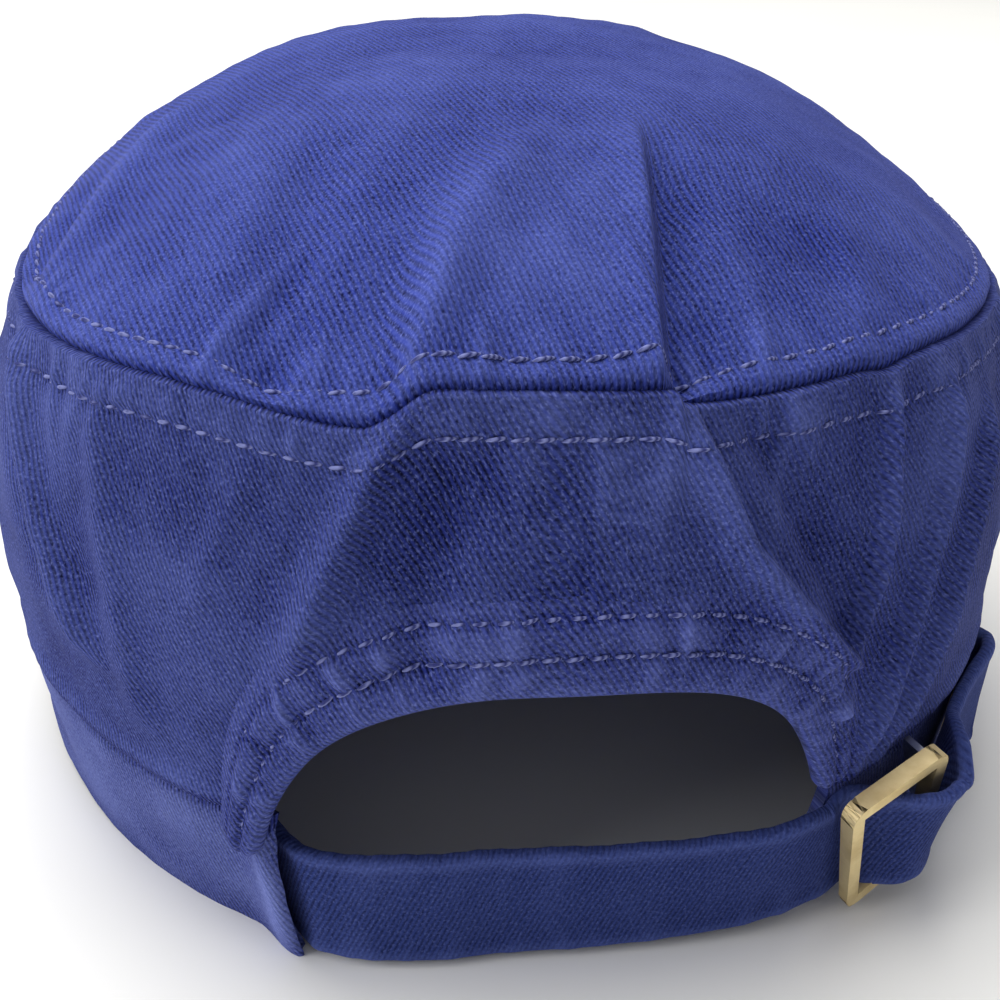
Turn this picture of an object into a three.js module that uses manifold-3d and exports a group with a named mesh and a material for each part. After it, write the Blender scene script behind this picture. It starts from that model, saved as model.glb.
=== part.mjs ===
// Cadet cap: an oval domed top panel sewn to a soft wall, an outer headband with a
// sweatband inside it, a short stiff peak in front, and at the back an arched opening
// closed by a strap that runs through a brass slide buckle and tucks into a slot.
// Millimetres, +Z up, the peak points to -Y, the opening to +Y. Headings round the head
// are in degrees from the middle of the back, positive towards +X.
import * as THREE from 'three';
import { mergeVertices } from 'three/addons/utils/BufferGeometryUtils.js';
import Module from 'manifold-3d';

// ---------------------------------------------------------------- driving dimensions
const rim = { halfWidth: 87.6, back: 92, front: 91.5, power: 1.92 };
const rimLift = { height: 24.5, from: 60, power: 1.15 };
const seam = { halfWidth: 77.5, back: 86.8, front: 90.7, power: 2.3 };
const seamHeight = { back: 86.6, front: 94, sideDroop: 7 };
const crown = { bulge: 5.9, sideEase: 0.2, sideRaise: 0.5, cloth: 1.6 };
const dome = { height: 22.5, power: 2.9, rimBlend: 1.6 };
const band = { top: 0.3, cloth: 2.2 };
const hem = { low: 24.6, high: 27.6, leftFlare: 3.2, rightFlare: -0.8, reach: 6 };
const sweat = { top: 0.33, low: 0.02, cloth: 1.2, from: 31 };
const arch = { halfWidth: 26.7, rise: 0.585, leftPower: 2.4, rightPower: 3.2, crownPower: 2.6 };
const binding = { width: 11, tipWidth: 4.6, cloth: 1, leftTip: 17.5, rightTip: 24, leftOff: 3.2 };
const peak = { reach: 50, spread: 56, corner: 71, bluntness: 0.86, edgeArch: 8, edgeDrop: 5.2, board: 3 };
const strap = { width: 19.6, cloth: 1.6 };
const frame = { length: 18, foot: 13, height: 25, bar: 2.2, thick: 2.2, corner: 2.6 };
const frameSet = { heading: 27, lean: 7, tilt: 14 };
const jaw = { height: 18, depth: 5, sheet: 1.1, offset: 2.6 };
const slot = { heading: -60.5, rise: 0.15, length: 20.6, width: 5.8, rim: 1.7, proud: 0.9, off: 0.7 };
const gap = 0.3;
const mmPerDegree = 1.56;
const mmPerRise = 87;

// Where the seam rises or is dragged down by the folds: heading, shift in mm, half width.
const seamShifts = [
  { at: 0, shift: 1.4, half: 9 },
  { at: 15, shift: -3.4, half: 5.5 },
  { at: -12.5, shift: -2, half: 3.4 },
  { at: -30, shift: -1.2, half: 5 },
];

// Folds of the wall: each runs from (lowRise, lowAt) up to (highRise, highAt), where rise
// is 0 at the rim and 1 at the seam. Height and half width are in mm.
const wallFolds = [
  { lowRise: 0.5, lowAt: 44, highRise: 1, highAt: 60, height: 2.2, half: 4.5 },
  { lowRise: 0.55, lowAt: 53, highRise: 1, highAt: 68, height: -1.6, half: 5 },
  { lowRise: 0.42, lowAt: 37.5, highRise: 0.95, highAt: 41.5, height: 1, half: 3.5 },
  { lowRise: 0.64, lowAt: 20, highRise: 0.99, highAt: 11, height: 2.1, half: 3.6 },
  { lowRise: 0.6, lowAt: 11, highRise: 0.92, highAt: 6, height: -1.4, half: 4 },
  { lowRise: 0.56, lowAt: -26.5, highRise: 0.97, highAt: -9.5, height: 2.4, half: 3 },
  { lowRise: 0.6, lowAt: -25, highRise: 0.92, highAt: -19, height: -1.2, half: 4 },
  { lowRise: 0.56, lowAt: -26.5, highRise: 0.95, highAt: -30, height: 1.4, half: 3 },
  { lowRise: 0.34, lowAt: -29, highRise: 0.96, highAt: -39, height: 1.8, half: 3 },
  { lowRise: 0.34, lowAt: -32.5, highRise: 0.86, highAt: -48, height: 2, half: 3.4 },
  { lowRise: 0.4, lowAt: 68, highRise: 0.9, highAt: 76, height: 1.2, half: 6 },
  { lowRise: 0.4, lowAt: -66, highRise: 0.9, highAt: -74, height: 1.3, half: 6 },
  { lowRise: 0.4, lowAt: 118, highRise: 0.9, highAt: 112, height: 1, half: 7 },
  { lowRise: 0.4, lowAt: -122, highRise: 0.9, highAt: -114, height: 1, half: 7 },
];

// Folds of the top panel, each along a straight line in plan.
const topFolds = [
  { fromX: 52, fromY: -2, toX: 68, toY: 50, height: 2, half: 4.5 },
  { fromX: 66, fromY: 6, toX: 72, toY: 34, height: -2.2, half: 4 },
  { fromX: 34, fromY: 82, toX: 27, toY: 40, height: -1.6, half: 5 },
  { fromX: 16, fromY: 82, toX: 0, toY: 46, height: 1.8, half: 5 },
  { fromX: -12.4, fromY: 88, toX: -16.2, toY: 50, height: 1.3, half: 3 },
  { fromX: -16.4, fromY: 88, toX: -20, toY: 50, height: -1.9, half: 3 },
  { fromX: -40, fromY: 80, toX: -43, toY: 54, height: 0.9, half: 3.5 },
];

// Path of the strap's middle line: it leaves the left hem, crosses the opening, goes
// behind the buckle's near bar, over its far bar, stands off the band and enters the
// slot. Lean is the outward tilt of the strap's top edge in degrees.
const strapAcross = [
  { x: 40.5, y: 75.8, lift: 0, lean: 4 },
  { x: 38, y: 79, lift: 0, lean: 5 },
  { x: 35.5, y: 82.8, lift: 0, lean: 5 },
  { x: 32.4, y: 86.3, lift: 0, lean: 4 },
  { x: 25.6, y: 88.4, lift: 0, lean: 2 },
  { x: 16, y: 89.2, lift: 0, lean: 1 },
  { x: 6.4, y: 88.8, lift: 0, lean: 2 },
  { x: -8, y: 89, lift: 0.2, lean: 4 },
  { x: -22, y: 88.6, lift: 0.7, lean: 6 },
  { x: -33, y: 87.2, lift: 1.4, lean: 8 },
];
const strapInFrame = [
  { along: -10.6, out: -3.5 },
  { along: -6.4, out: -3.4 },
  { along: -3, out: -0.4 },
  { along: 0.4, out: 2.6 },
  { along: 4.2, out: 3.3 },
  { along: 8, out: 2.7 },
];
const strapTail = [
  { x: -63.9, y: 69.8, z: 15.2, lean: 4 },
  { x: -68.4, y: 63.6, z: 14.8, lean: 2 },
  { x: -72.8, y: 57.6, z: 14.8, lean: 2 },
  { x: -76.8, y: 51.8, z: 15, lean: 3 },
];

// ---------------------------------------------------------------- small tools
const deg = Math.PI / 180;
const mix = (a, b, t) => a + (b - a) * t;
const clamp01 = (t) => Math.min(1, Math.max(0, t));
const smooth = (t) => clamp01(t) ** 2 * (3 - 2 * clamp01(t));
const bump = (offset, half) => Math.exp(-((offset / half) ** 2));
const signedPower = (value, power) => Math.sign(value) * Math.abs(value) ** power;
const range = (count) => Array.from({ length: count }, (_, i) => i);
const vec = (x, y, z) => new THREE.Vector3(x, y, z);

function oval(heading, ring) {
  const s = Math.sin(heading * deg);
  const c = Math.cos(heading * deg);
  const reach = c > 0 ? ring.back : ring.front;
  return vec(ring.halfWidth * signedPower(s, 2 / ring.power), reach * signedPower(c, 2 / ring.power), 0);
}

// ---------------------------------------------------------------- cap surfaces
function rimPoint(heading) {
  const point = oval(heading, rim);
  const forward = clamp01((rimLift.from - point.y) / (rimLift.from + rim.front));
  point.z = rimLift.height * forward ** rimLift.power;
  return point;
}

function seamPoint(heading, shiftShare = 1) {
  const point = oval(heading, seam);
  const forward = (seam.back - point.y) / (seam.back + seam.front);
  const droop = seamHeight.sideDroop * Math.abs(Math.sin(heading * deg)) ** 3;
  point.z = mix(seamHeight.back, seamHeight.front, forward) - droop;
  for (const row of seamShifts) {
    point.z += row.shift * shiftShare * bump(heading - row.at, row.half);
  }
  return point;
}

function wallFoldHeight(heading, rise) {
  let height = 0;
  for (const fold of wallFolds) {
    const along = (rise - fold.lowRise) / (fold.highRise - fold.lowRise);
    const centre = mix(fold.lowAt, fold.highAt, along);
    const ends = smooth(along / 0.25 + 0.5) * smooth((1 - along) / 0.25 + 0.5);
    height += fold.height * ends * bump((heading - centre) * mmPerDegree, fold.half);
  }
  return height;
}

function wallBase(heading, rise) {
  const point = rimPoint(heading).lerp(seamPoint(heading), rise);
  const length = Math.hypot(point.x, point.y);
  const sideways = Math.sin(heading * deg) ** 2;
  const along = signedPower(rise, 1 + crown.sideRaise * sideways);
  const out = crown.bulge * (1 - crown.sideEase * sideways) * 4 * along * (1 - along);
  point.x += (out * point.x) / length;
  point.y += (out * point.y) / length;
  return point;
}

function surfaceNormal(surface, a, b, stepA, stepB) {
  const across = surface(a + stepA, b).sub(surface(a - stepA, b));
  const up = surface(a, b + stepB).sub(surface(a, b - stepB));
  return across.cross(up).normalize();
}

const wallBaseNormal = (heading, rise) => surfaceNormal(wallBase, heading, rise, 0.5, 0.01).negate();

// A step off the wall; at the rim the step is level, so the hem stands flat.
function offWall(heading, rise, out) {
  const normal = wallBaseNormal(heading, rise);
  const level = vec(normal.x, normal.y, 0).normalize();
  return wallBase(heading, rise).addScaledVector(level.lerp(normal, smooth(rise / 0.2)), out);
}

const wallPoint = (heading, rise, out = 0) => offWall(heading, rise, wallFoldHeight(heading, rise) + out);

function topFoldHeight(x, y) {
  let height = 0;
  for (const fold of topFolds) {
    const dx = fold.toX - fold.fromX;
    const dy = fold.toY - fold.fromY;
    const length = Math.hypot(dx, dy);
    const along = ((x - fold.fromX) * dx + (y - fold.fromY) * dy) / length ** 2;
    const side = ((x - fold.fromX) * dy - (y - fold.fromY) * dx) / length;
    const ends = smooth(along / 0.3 + 0.5) * smooth((1 - along) / 0.5 + 0.5);
    height += fold.height * ends * bump(side, fold.half);
  }
  return height;
}

// share is 0 in the middle of the panel and 1 at the seam.
function topPoint(heading, share) {
  const edge = seamPoint(heading, smooth((share - 0.55) / 0.45));
  const middleY = (seam.back - seam.front) / 2;
  const middleZ = mix(seamHeight.back, seamHeight.front, 0.5) - seamHeight.sideDroop * 0.35;
  const point = vec(edge.x * share, mix(middleY, edge.y, share), 0);
  const height = dome.height * (1 - share ** dome.power);
  point.z = mix(middleZ, edge.z, share ** dome.rimBlend) + height;
  point.z += topFoldHeight(point.x, point.y) * smooth((1 - share) / 0.06 + 0.3);
  return point;
}

function topNormal(heading, share) {
  const here = Math.max(share, 0.06);
  const across = topPoint(heading + 1, here).sub(topPoint(heading - 1, here));
  const inward = topPoint(heading, here - 0.02).sub(topPoint(heading, here));
  return inward.cross(across).normalize();
}

// The two cloths meet on the plane that halves the angle between them at the seam.
function seamMitre(heading) {
  const wallOut = surfaceNormal(wallPoint, heading, 0.98, 0.5, 0.01).negate();
  const middle = topNormal(heading, 1).add(wallOut).normalize();
  const around = seamPoint(heading + 0.5).sub(seamPoint(heading - 0.5)).normalize();
  const toPanel = around.cross(middle).normalize();
  if (toPanel.dot(vec(0, 0, 1)) < 0) {
    toPanel.negate();
  }
  const depth = crown.cloth / Math.max(0.5, middle.dot(wallOut));
  return { middle, toPanel, depth };
}

function seamEdge(heading, side) {
  const { middle, toPanel, depth } = seamMitre(heading);
  const outer = seamPoint(heading).addScaledVector(toPanel, (side * gap) / 1.6);
  const inner = outer.clone().addScaledVector(middle, -depth);
  return { outer, inner };
}

// Rise of the opening's edge at a heading, 0 outside it.
function archRise(heading) {
  const power = heading > 0 ? arch.leftPower : arch.rightPower;
  const share = Math.min(1, Math.abs(heading) / arch.halfWidth);
  return arch.rise * (1 - share ** power) ** (1 / arch.crownPower);
}

// ---------------------------------------------------------------- solids from sheets
function toGeometry(positions, triangles) {
  const geometry = new THREE.BufferGeometry();
  const numbers = positions.flatMap((p) => p.toArray());
  geometry.setAttribute('position', new THREE.Float32BufferAttribute(numbers, 3));
  geometry.setIndex(triangles.flat());
  let volume = 0;
  for (const [a, b, c] of triangles) {
    volume += positions[a].dot(positions[b].clone().cross(positions[c]));
  }
  if (volume < 0) {
    geometry.setIndex(triangles.flatMap(([a, b, c]) => [a, c, b]));
  }
  return geometry;
}

// A cloth wall between two equal grids of points, outer[column][row] and inner. A closed
// one joins its last column to its first. A capped one ends each last row in one point.
function clothSolid(outer, inner, { closed = false, capped = false } = {}) {
  const columns = outer.length;
  const rows = outer[0].length;
  const positions = [...outer.flat(), ...inner.flat()];
  const id = (layer, i, j) => layer * columns * rows + (i % columns) * rows + j;
  const triangles = [];
  const quad = (a, b, c, d) => triangles.push([a, b, c], [a, c, d]);
  const spans = closed ? columns : columns - 1;
  for (let i = 0; i < spans; i += 1) {
    for (let j = 0; j < rows - 1; j += 1) {
      quad(id(0, i, j), id(0, i + 1, j), id(0, i + 1, j + 1), id(0, i, j + 1));
      quad(id(1, i, j), id(1, i, j + 1), id(1, i + 1, j + 1), id(1, i + 1, j));
    }
    quad(id(0, i, 0), id(1, i, 0), id(1, i + 1, 0), id(0, i + 1, 0));
    if (capped) {
      const tip = positions.length;
      triangles.push([id(0, i, rows - 1), id(0, i + 1, rows - 1), tip - (i === 0 ? 0 : 2)]);
      triangles.push([id(1, i + 1, rows - 1), id(1, i, rows - 1), tip + 1 - (i === 0 ? 0 : 2)]);
      if (i === 0) {
        positions.push(capped.outer, capped.inner);
      }
    } else {
      quad(id(0, i, rows - 1), id(0, i + 1, rows - 1), id(1, i + 1, rows - 1), id(1, i, rows - 1));
    }
  }
  if (!closed) {
    const last = columns - 1;
    for (let j = 0; j < rows - 1; j += 1) {
      quad(id(0, 0, j), id(0, 0, j + 1), id(1, 0, j + 1), id(1, 0, j));
      quad(id(0, last, j), id(1, last, j), id(1, last, j + 1), id(0, last, j + 1));
    }
  }
  return toGeometry(positions, triangles);
}

const cap = new THREE.Group();

function addPiece(name, geometry, colour, roughness, metalness = 0) {
  const finish = new THREE.MeshStandardMaterial({ color: colour, roughness, metalness });
  const mesh = new THREE.Mesh(geometry, finish);
  mesh.name = name;
  cap.add(mesh);
  return mesh;
}

const twillBlue = 0x3f459c;
const strapBlue = 0x2c3580;
const charcoal = 0x23262b;
const brass = 0xbba87a;
const steel = 0xb9bec4;

// Columns round the crown: close together over the back, where the folds are, and wider
// apart round the front.
const backHeadings = range(61).map((i) => -60 + 2 * i);
const frontHeadings = range(25).map((i) => 60 + (240 * (i + 1)) / 26);
const headings = [...backHeadings, ...frontHeadings];

// ---------------------------------------------------------------- top panel
function makeTop() {
  const shares = [0.96, 0.9, 0.82, 0.71, 0.57, 0.4, 0.2];
  const outer = headings.map((h) => [seamEdge(h, 1).outer, ...shares.map((s) => topPoint(h, s))]);
  const below = (h, s) => topPoint(h, s).addScaledVector(topNormal(h, s), -crown.cloth);
  const inner = headings.map((h) => [seamEdge(h, 1).inner, ...shares.map((s) => below(h, s))]);
  const tip = topPoint(0, 0);
  const capped = { outer: tip, inner: tip.clone().add(vec(0, 0, -crown.cloth)) };
  addPiece('crown_top', clothSolid(outer, inner, { closed: true, capped }), twillBlue, 0.9);
}

// ---------------------------------------------------------------- wall
function makeWall() {
  const rows = 10;
  const outer = [];
  const inner = [];
  for (const heading of headings) {
    const low = Math.max(band.top, archRise(heading)) + gap / mmPerRise;
    const rises = range(rows).map((j) => mix(low, 0.975, j / (rows - 1)));
    const edge = seamEdge(heading, -1);
    outer.push([...rises.map((r) => wallPoint(heading, r)), edge.outer]);
    inner.push([...rises.map((r) => wallPoint(heading, r, -crown.cloth)), edge.inner]);
  }
  addPiece('crown_wall', clothSolid(outer, inner, { closed: true }), twillBlue, 0.9);
}

// ---------------------------------------------------------------- strip round the opening
// In the wall laid flat: along is measured from the middle of the back, up from the rim.
function archOutline(turn, offset) {
  const at = (angle) => {
    const power = Math.cos(angle) > 0 ? arch.leftPower : arch.rightPower;
    const share = signedPower(Math.cos(angle), 2 / power);
    return {
      along: arch.halfWidth * mmPerDegree * share,
      up: arch.rise * mmPerRise * (1 - Math.abs(share) ** power) ** (1 / arch.crownPower),
    };
  };
  const here = at(turn);
  const before = at(turn - 0.01);
  const after = at(turn + 0.01);
  const length = Math.hypot(after.along - before.along, after.up - before.up);
  const along = here.along + (offset * (after.up - before.up)) / length;
  const up = here.up - (offset * (after.along - before.along)) / length;
  return { heading: along / mmPerDegree, rise: up / mmPerRise };
}

function makeBinding() {
  const columns = 40;
  const shares = [0, 0.33, 0.66, 1];
  const outer = [];
  const inner = [];
  for (const i of range(columns + 1)) {
    const turn = mix(binding.leftTip, 180 - binding.rightTip, i / columns) * deg;
    const width = mix(binding.tipWidth, binding.width, smooth((Math.sin(turn) - 0.32) / 0.6));
    const spots = shares.map((share) => archOutline(turn, share * width));
    const off = 2.4 * gap + (turn < Math.PI / 2 ? binding.leftOff * Math.cos(turn) ** 4 : 0);
    outer.push(spots.map((s) => wallPoint(s.heading, s.rise, off + binding.cloth)));
    inner.push(spots.map((s) => wallPoint(s.heading, s.rise, off)));
  }
  addPiece('opening_binding', clothSolid(outer, inner), twillBlue, 0.9);
}

// ---------------------------------------------------------------- bands round the head
function bandHeadings(low, high) {
  const fine = range(13).map((i) => 0.5 * (low + high) + 2.6 * i);
  const last = fine[fine.length - 1];
  const coarse = range(27).map((i) => mix(last, 360 - last, (i + 1) / 28));
  return [...fine, ...coarse, ...fine.map((h) => 360 - h).reverse()];
}

const signedHeading = (heading) => (heading > 180 ? heading - 360 : heading);

function bandSurface(heading, rise, out) {
  const signed = signedHeading(heading);
  const nearHem = smooth(1 - (Math.abs(signed) - hem.low) / hem.reach);
  const flare = signed > 0 ? hem.leftFlare : hem.rightFlare;
  return offWall(signed, rise, out + flare * nearHem);
}

function makeHeadband() {
  const rises = [0, 0.04, 0.15, 0.26, band.top - gap / mmPerRise];
  const columns = bandHeadings(hem.low, hem.high);
  const lean = (heading, rise) => {
    const signed = signedHeading(heading);
    const fade = smooth(1 - (Math.abs(signed) - hem.low) / 10);
    return signed + Math.sign(signed) * (rise / band.top - 0.5) * (hem.high - hem.low) * fade;
  };
  const outer = columns.map((h) => rises.map((r) => bandSurface(lean(h, r), r, -gap)));
  const inner = columns.map((h) => rises.map((r) => bandSurface(lean(h, r), r, -gap - band.cloth)));
  return clothSolid(outer, inner);
}

function makeSweatband() {
  const rises = [sweat.low, 0.12, 0.23, sweat.top];
  const columns = bandHeadings(sweat.from, sweat.from);
  const outside = -gap - band.cloth - 2 * gap;
  const outer = columns.map((h) => rises.map((r) => bandSurface(h, r, outside)));
  const inner = columns.map((h) => rises.map((r) => bandSurface(h, r, outside - sweat.cloth)));
  addPiece('sweatband', clothSolid(outer, inner), charcoal, 0.95);
}

// ---------------------------------------------------------------- peak
function peakPoint(side, outward) {
  const heading = 180 + side * peak.spread;
  const root = bandSurface(heading, 0, gap + 0.2);
  root.z -= gap + peak.board;
  const turn = side * 90 * deg;
  const rootEnd = rimPoint(180 - peak.spread);
  const depth = rim.front + peak.reach + rootEnd.y;
  const edge = vec(
    -peak.corner * Math.sin(turn),
    rootEnd.y - depth * Math.max(0, Math.cos(turn)) ** peak.bluntness - 2,
    0,
  );
  const rise = rootEnd.z - gap - peak.board + peak.edgeDrop;
  edge.z = rise * Math.abs(Math.sin(turn)) ** 8 + peak.edgeArch * Math.cos(turn) ** 2 - peak.edgeDrop;
  const point = root.clone().lerp(edge, outward);
  point.z += 2.2 * Math.sin(Math.PI * outward) * Math.cos(turn);
  return point;
}

function makePeak() {
  const sides = range(29).map((i) => 0.985 * Math.sin(((i - 14) / 14) * 90 * deg));
  const shares = [0, 0.18, 0.38, 0.58, 0.78, 0.94, 1];
  const lower = sides.map((s) => shares.map((t) => peakPoint(s, t)));
  const upper = lower.map((column) => column.map((p) => p.clone().add(vec(0, 0, peak.board))));
  addPiece('peak', clothSolid(upper, lower), twillBlue, 0.9);
}

// ---------------------------------------------------------------- buckle and strap
// The frame stands on its near bar's foot, leans outwards and rises away from the opening.
const frameTurn = new THREE.Matrix4()
  .makeRotationZ((180 + frameSet.heading) * deg)
  .multiply(new THREE.Matrix4().makeRotationX(frameSet.lean * deg))
  .multiply(new THREE.Matrix4().makeRotationY(-frameSet.tilt * deg));
const frameAlong = vec(1, 0, 0).applyMatrix4(frameTurn);
const frameUp = vec(0, 0, 1).applyMatrix4(frameTurn);
const frameOut = new THREE.Vector3().crossVectors(frameAlong, frameUp);
const nearBarFoot = vec(-46.6, 83.3, 0.6);
const frameCentre = nearBarFoot
  .clone()
  .addScaledVector(frameAlong, frame.length / 2)
  .addScaledVector(frameUp, frame.height / 2);

// A closed outline through four corners, each rounded off over the same length.
function roundedOutline(path, corners, radius) {
  corners.forEach((corner, i) => {
    const before = corners[(i + 3) % 4].clone().sub(corner).setLength(radius).add(corner);
    const after = corners[(i + 1) % 4].clone().sub(corner).setLength(radius).add(corner);
    if (i === 0) {
      path.moveTo(before.x, before.y);
    } else {
      path.lineTo(before.x, before.y);
    }
    path.quadraticCurveTo(corner.x, corner.y, after.x, after.y);
  });
  return path;
}

// Corners of a four-sided outline drawn in by an inset; its far side may slope.
function insetCorners(length, foot, height, inset) {
  const slope = (length - foot) / height;
  const across = inset * Math.hypot(1, slope);
  const far = (y) => foot - length / 2 + slope * (y + height / 2) - across;
  const low = inset - height / 2;
  const near = inset - length / 2;
  const corners = [[near, low], [far(low), low], [far(-low), -low], [near, -low]];
  return corners.map(([x, y]) => new THREE.Vector2(x, y));
}

// A flat ring of metal bar, its thickness along its own Z.
function metalRing(length, foot, height, bar, radius, thick) {
  const bevel = thick * 0.16;
  const shape = roundedOutline(new THREE.Shape(), insetCorners(length, foot, height, bevel), radius);
  const window = insetCorners(length, foot, height, bar - bevel);
  shape.holes.push(roundedOutline(new THREE.Path(), window, Math.max(0.3, radius - bar)));
  const geometry = new THREE.ExtrudeGeometry(shape, {
    depth: thick - 2 * bevel,
    bevelThickness: bevel,
    bevelSize: bevel,
    bevelSegments: 1,
    curveSegments: 4,
  });
  return geometry.translate(0, 0, bevel - thick / 2);
}

function placeOn(mesh, origin, xAxis, yAxis, zAxis) {
  mesh.quaternion.setFromRotationMatrix(new THREE.Matrix4().makeBasis(xAxis, yAxis, zAxis));
  mesh.position.copy(origin);
}

function makeBuckle() {
  const ring = metalRing(frame.length, frame.foot, frame.height, frame.bar, frame.corner, frame.thick);
  placeOn(addPiece('buckle_frame', ring, brass, 0.35, 1), frameCentre, frameAlong, frameUp, frameOut);
}

// The clamping jaw hangs behind the frame's far bar and is deeper at its top.
function makeJaw() {
  const half = jaw.height / 2;
  const front = -frame.thick / 2 - gap;
  const profile = new THREE.Shape();
  profile.moveTo(front, -half);
  profile.lineTo(front, half);
  profile.lineTo(front - jaw.depth, half);
  profile.lineTo(front - jaw.depth, half - 2);
  profile.lineTo(front - 1.2, -half);
  const plate = new THREE.ExtrudeGeometry(profile, { depth: jaw.sheet, bevelEnabled: false });
  const origin = frameCentre.clone().addScaledVector(frameAlong, frame.length / 2 - jaw.offset + jaw.sheet);
  const mesh = addPiece('buckle_jaw', plate, steel, 0.3, 1);
  placeOn(mesh, origin, frameOut, frameUp, frameAlong.clone().negate());
}

// The slot in the headband that takes the strap's end, with its brass rim.
const slotMiddle = bandSurface(slot.heading, slot.rise, -gap);
const atSlot = (turn, up) => bandSurface(slot.heading + turn, slot.rise + up, 0);
const slotAround = atSlot(1, 0).sub(atSlot(-1, 0)).normalize();
const slotUp = atSlot(0, 0.05).sub(atSlot(0, -0.04)).normalize();
const slotOut = new THREE.Vector3().crossVectors(slotAround, slotUp).normalize();
slotOut.multiplyScalar(Math.sign(slotOut.dot(vec(slotMiddle.x, slotMiddle.y, 0))));
const slotSide = new THREE.Vector3().crossVectors(slotUp, slotOut).normalize();

function makeGrommet() {
  const width = slot.width + 2 * slot.rim;
  const ring = metalRing(width, width, slot.length + 2 * slot.rim, slot.rim, width / 2 - 0.3, slot.proud);
  const origin = slotMiddle.clone().addScaledVector(slotOut, slot.off + slot.proud / 2);
  placeOn(addPiece('slot_grommet', ring, brass, 0.4, 1), origin, slotSide, slotUp, slotOut);
}

const spotInFrame = (row) =>
  frameCentre.clone().addScaledVector(frameAlong, row.along).addScaledVector(frameOut, row.out);

function strapStations() {
  const flatHeight = (row) => gap + (strap.width / 2) * Math.cos(row.lean * deg) + strap.cloth * 0.5;
  const across = strapAcross.map((row) => ({
    at: vec(row.x, row.y, flatHeight(row) + row.lift),
    lean: row.lean,
  }));
  const inFrame = strapInFrame.map((row) => ({ at: spotInFrame(row), lean: frameSet.lean - 1 }));
  const tail = strapTail.map((row) => ({ at: vec(row.x, row.y, row.z), lean: row.lean }));
  const intoSlot = [2.9, 1.2, -0.4, -1.9].map((out, i) => ({
    at: slotMiddle.clone().addScaledVector(slotOut, out).addScaledVector(slotSide, i === 0 ? -1.2 : 0),
    lean: 3,
  }));
  return [...across, ...inFrame, ...tail, ...intoSlot];
}

function makeStrap() {
  const stations = strapStations();
  const curve = new THREE.CatmullRomCurve3(stations.map((s) => s.at), false, 'centripetal');
  const steps = 3 * (stations.length - 1);
  const outer = [];
  const inner = [];
  for (const i of range(steps + 1)) {
    const t = i / steps;
    const index = Math.min(stations.length - 2, Math.floor(t * (stations.length - 1)));
    const part = t * (stations.length - 1) - index;
    const lean = mix(stations[index].lean, stations[index + 1].lean, part) * deg;
    const tangent = curve.getTangent(t);
    const out = vec(tangent.y, -tangent.x, 0).setLength(Math.cos(lean)).add(vec(0, 0, -Math.sin(lean)));
    const up = out.clone().cross(tangent).normalize();
    const middle = curve.getPoint(t);
    const place = (side, height) =>
      middle
        .clone()
        .addScaledVector(up, (height * strap.width) / 2)
        .addScaledVector(out, (side * strap.cloth) / 2);
    outer.push([-1, 0, 1].map((h) => place(1, h)));
    inner.push([-1, 0, 1].map((h) => place(-1, h)));
  }
  addPiece('strap', clothSolid(outer, inner), strapBlue, 0.9);
}

// ---------------------------------------------------------------- joining and cutting
const wasm = await Module();
wasm.setup();

function toSolid(geometry) {
  const plain = geometry.clone();
  plain.deleteAttribute('normal');
  plain.deleteAttribute('uv');
  const merged = mergeVertices(plain, 1e-5);
  const vertProperties = new Float32Array(merged.attributes.position.array);
  const triVerts = new Uint32Array(merged.index.array);
  return new wasm.Manifold(new wasm.Mesh({ numProp: 3, vertProperties, triVerts }));
}

function fromSolid(solid) {
  const { vertProperties, triVerts } = solid.getMesh();
  const geometry = new THREE.BufferGeometry();
  geometry.setAttribute('position', new THREE.BufferAttribute(vertProperties, 3));
  geometry.setIndex(new THREE.BufferAttribute(triVerts, 1));
  return geometry;
}

function cutSlot(bandGeometry) {
  const tool = new THREE.BoxGeometry(slot.width, slot.length, 4 * band.cloth);
  const pose = new THREE.Matrix4().makeBasis(slotSide, slotUp, slotOut).setPosition(slotMiddle);
  return fromSolid(toSolid(bandGeometry).subtract(toSolid(tool.applyMatrix4(pose))));
}

makeTop();
makeWall();
makeBinding();
addPiece('headband', cutSlot(makeHeadband()), twillBlue, 0.9);
makeSweatband();
makePeak();
makeStrap();
makeBuckle();
makeJaw();
makeGrommet();

// The origin is under the middle of the whole cap, on the surface it stands on.
cap.updateMatrixWorld(true);
const extent = new THREE.Box3().setFromObject(cap, true);
const middle = extent.getCenter(new THREE.Vector3());
cap.position.set(-middle.x, -middle.y, -extent.min.z);

export default cap;
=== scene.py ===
import math
import random

import bpy
import numpy as np
from mathutils import Matrix, Vector


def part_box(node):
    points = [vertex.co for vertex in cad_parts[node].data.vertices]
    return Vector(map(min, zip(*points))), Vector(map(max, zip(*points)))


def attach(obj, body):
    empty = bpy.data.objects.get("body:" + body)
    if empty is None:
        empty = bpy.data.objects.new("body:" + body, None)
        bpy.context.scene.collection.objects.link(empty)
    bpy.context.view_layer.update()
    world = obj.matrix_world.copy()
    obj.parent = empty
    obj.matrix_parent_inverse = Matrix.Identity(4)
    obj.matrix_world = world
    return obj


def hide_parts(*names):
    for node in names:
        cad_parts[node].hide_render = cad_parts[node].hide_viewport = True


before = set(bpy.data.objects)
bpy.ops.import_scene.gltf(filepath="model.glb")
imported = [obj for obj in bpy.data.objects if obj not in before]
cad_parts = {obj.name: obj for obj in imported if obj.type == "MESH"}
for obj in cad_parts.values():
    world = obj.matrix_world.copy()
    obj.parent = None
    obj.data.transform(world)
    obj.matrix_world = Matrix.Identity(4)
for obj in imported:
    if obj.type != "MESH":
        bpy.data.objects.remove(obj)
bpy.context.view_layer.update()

# ---------------------------------------------------------------- Camera
# It stands close behind the cap and a little above it, and looks down into the opening
# over the strap. Places are in millimetres from the middle of the head on the table.
camera_place = Vector((16.5, 222.08, 147.4))
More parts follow.
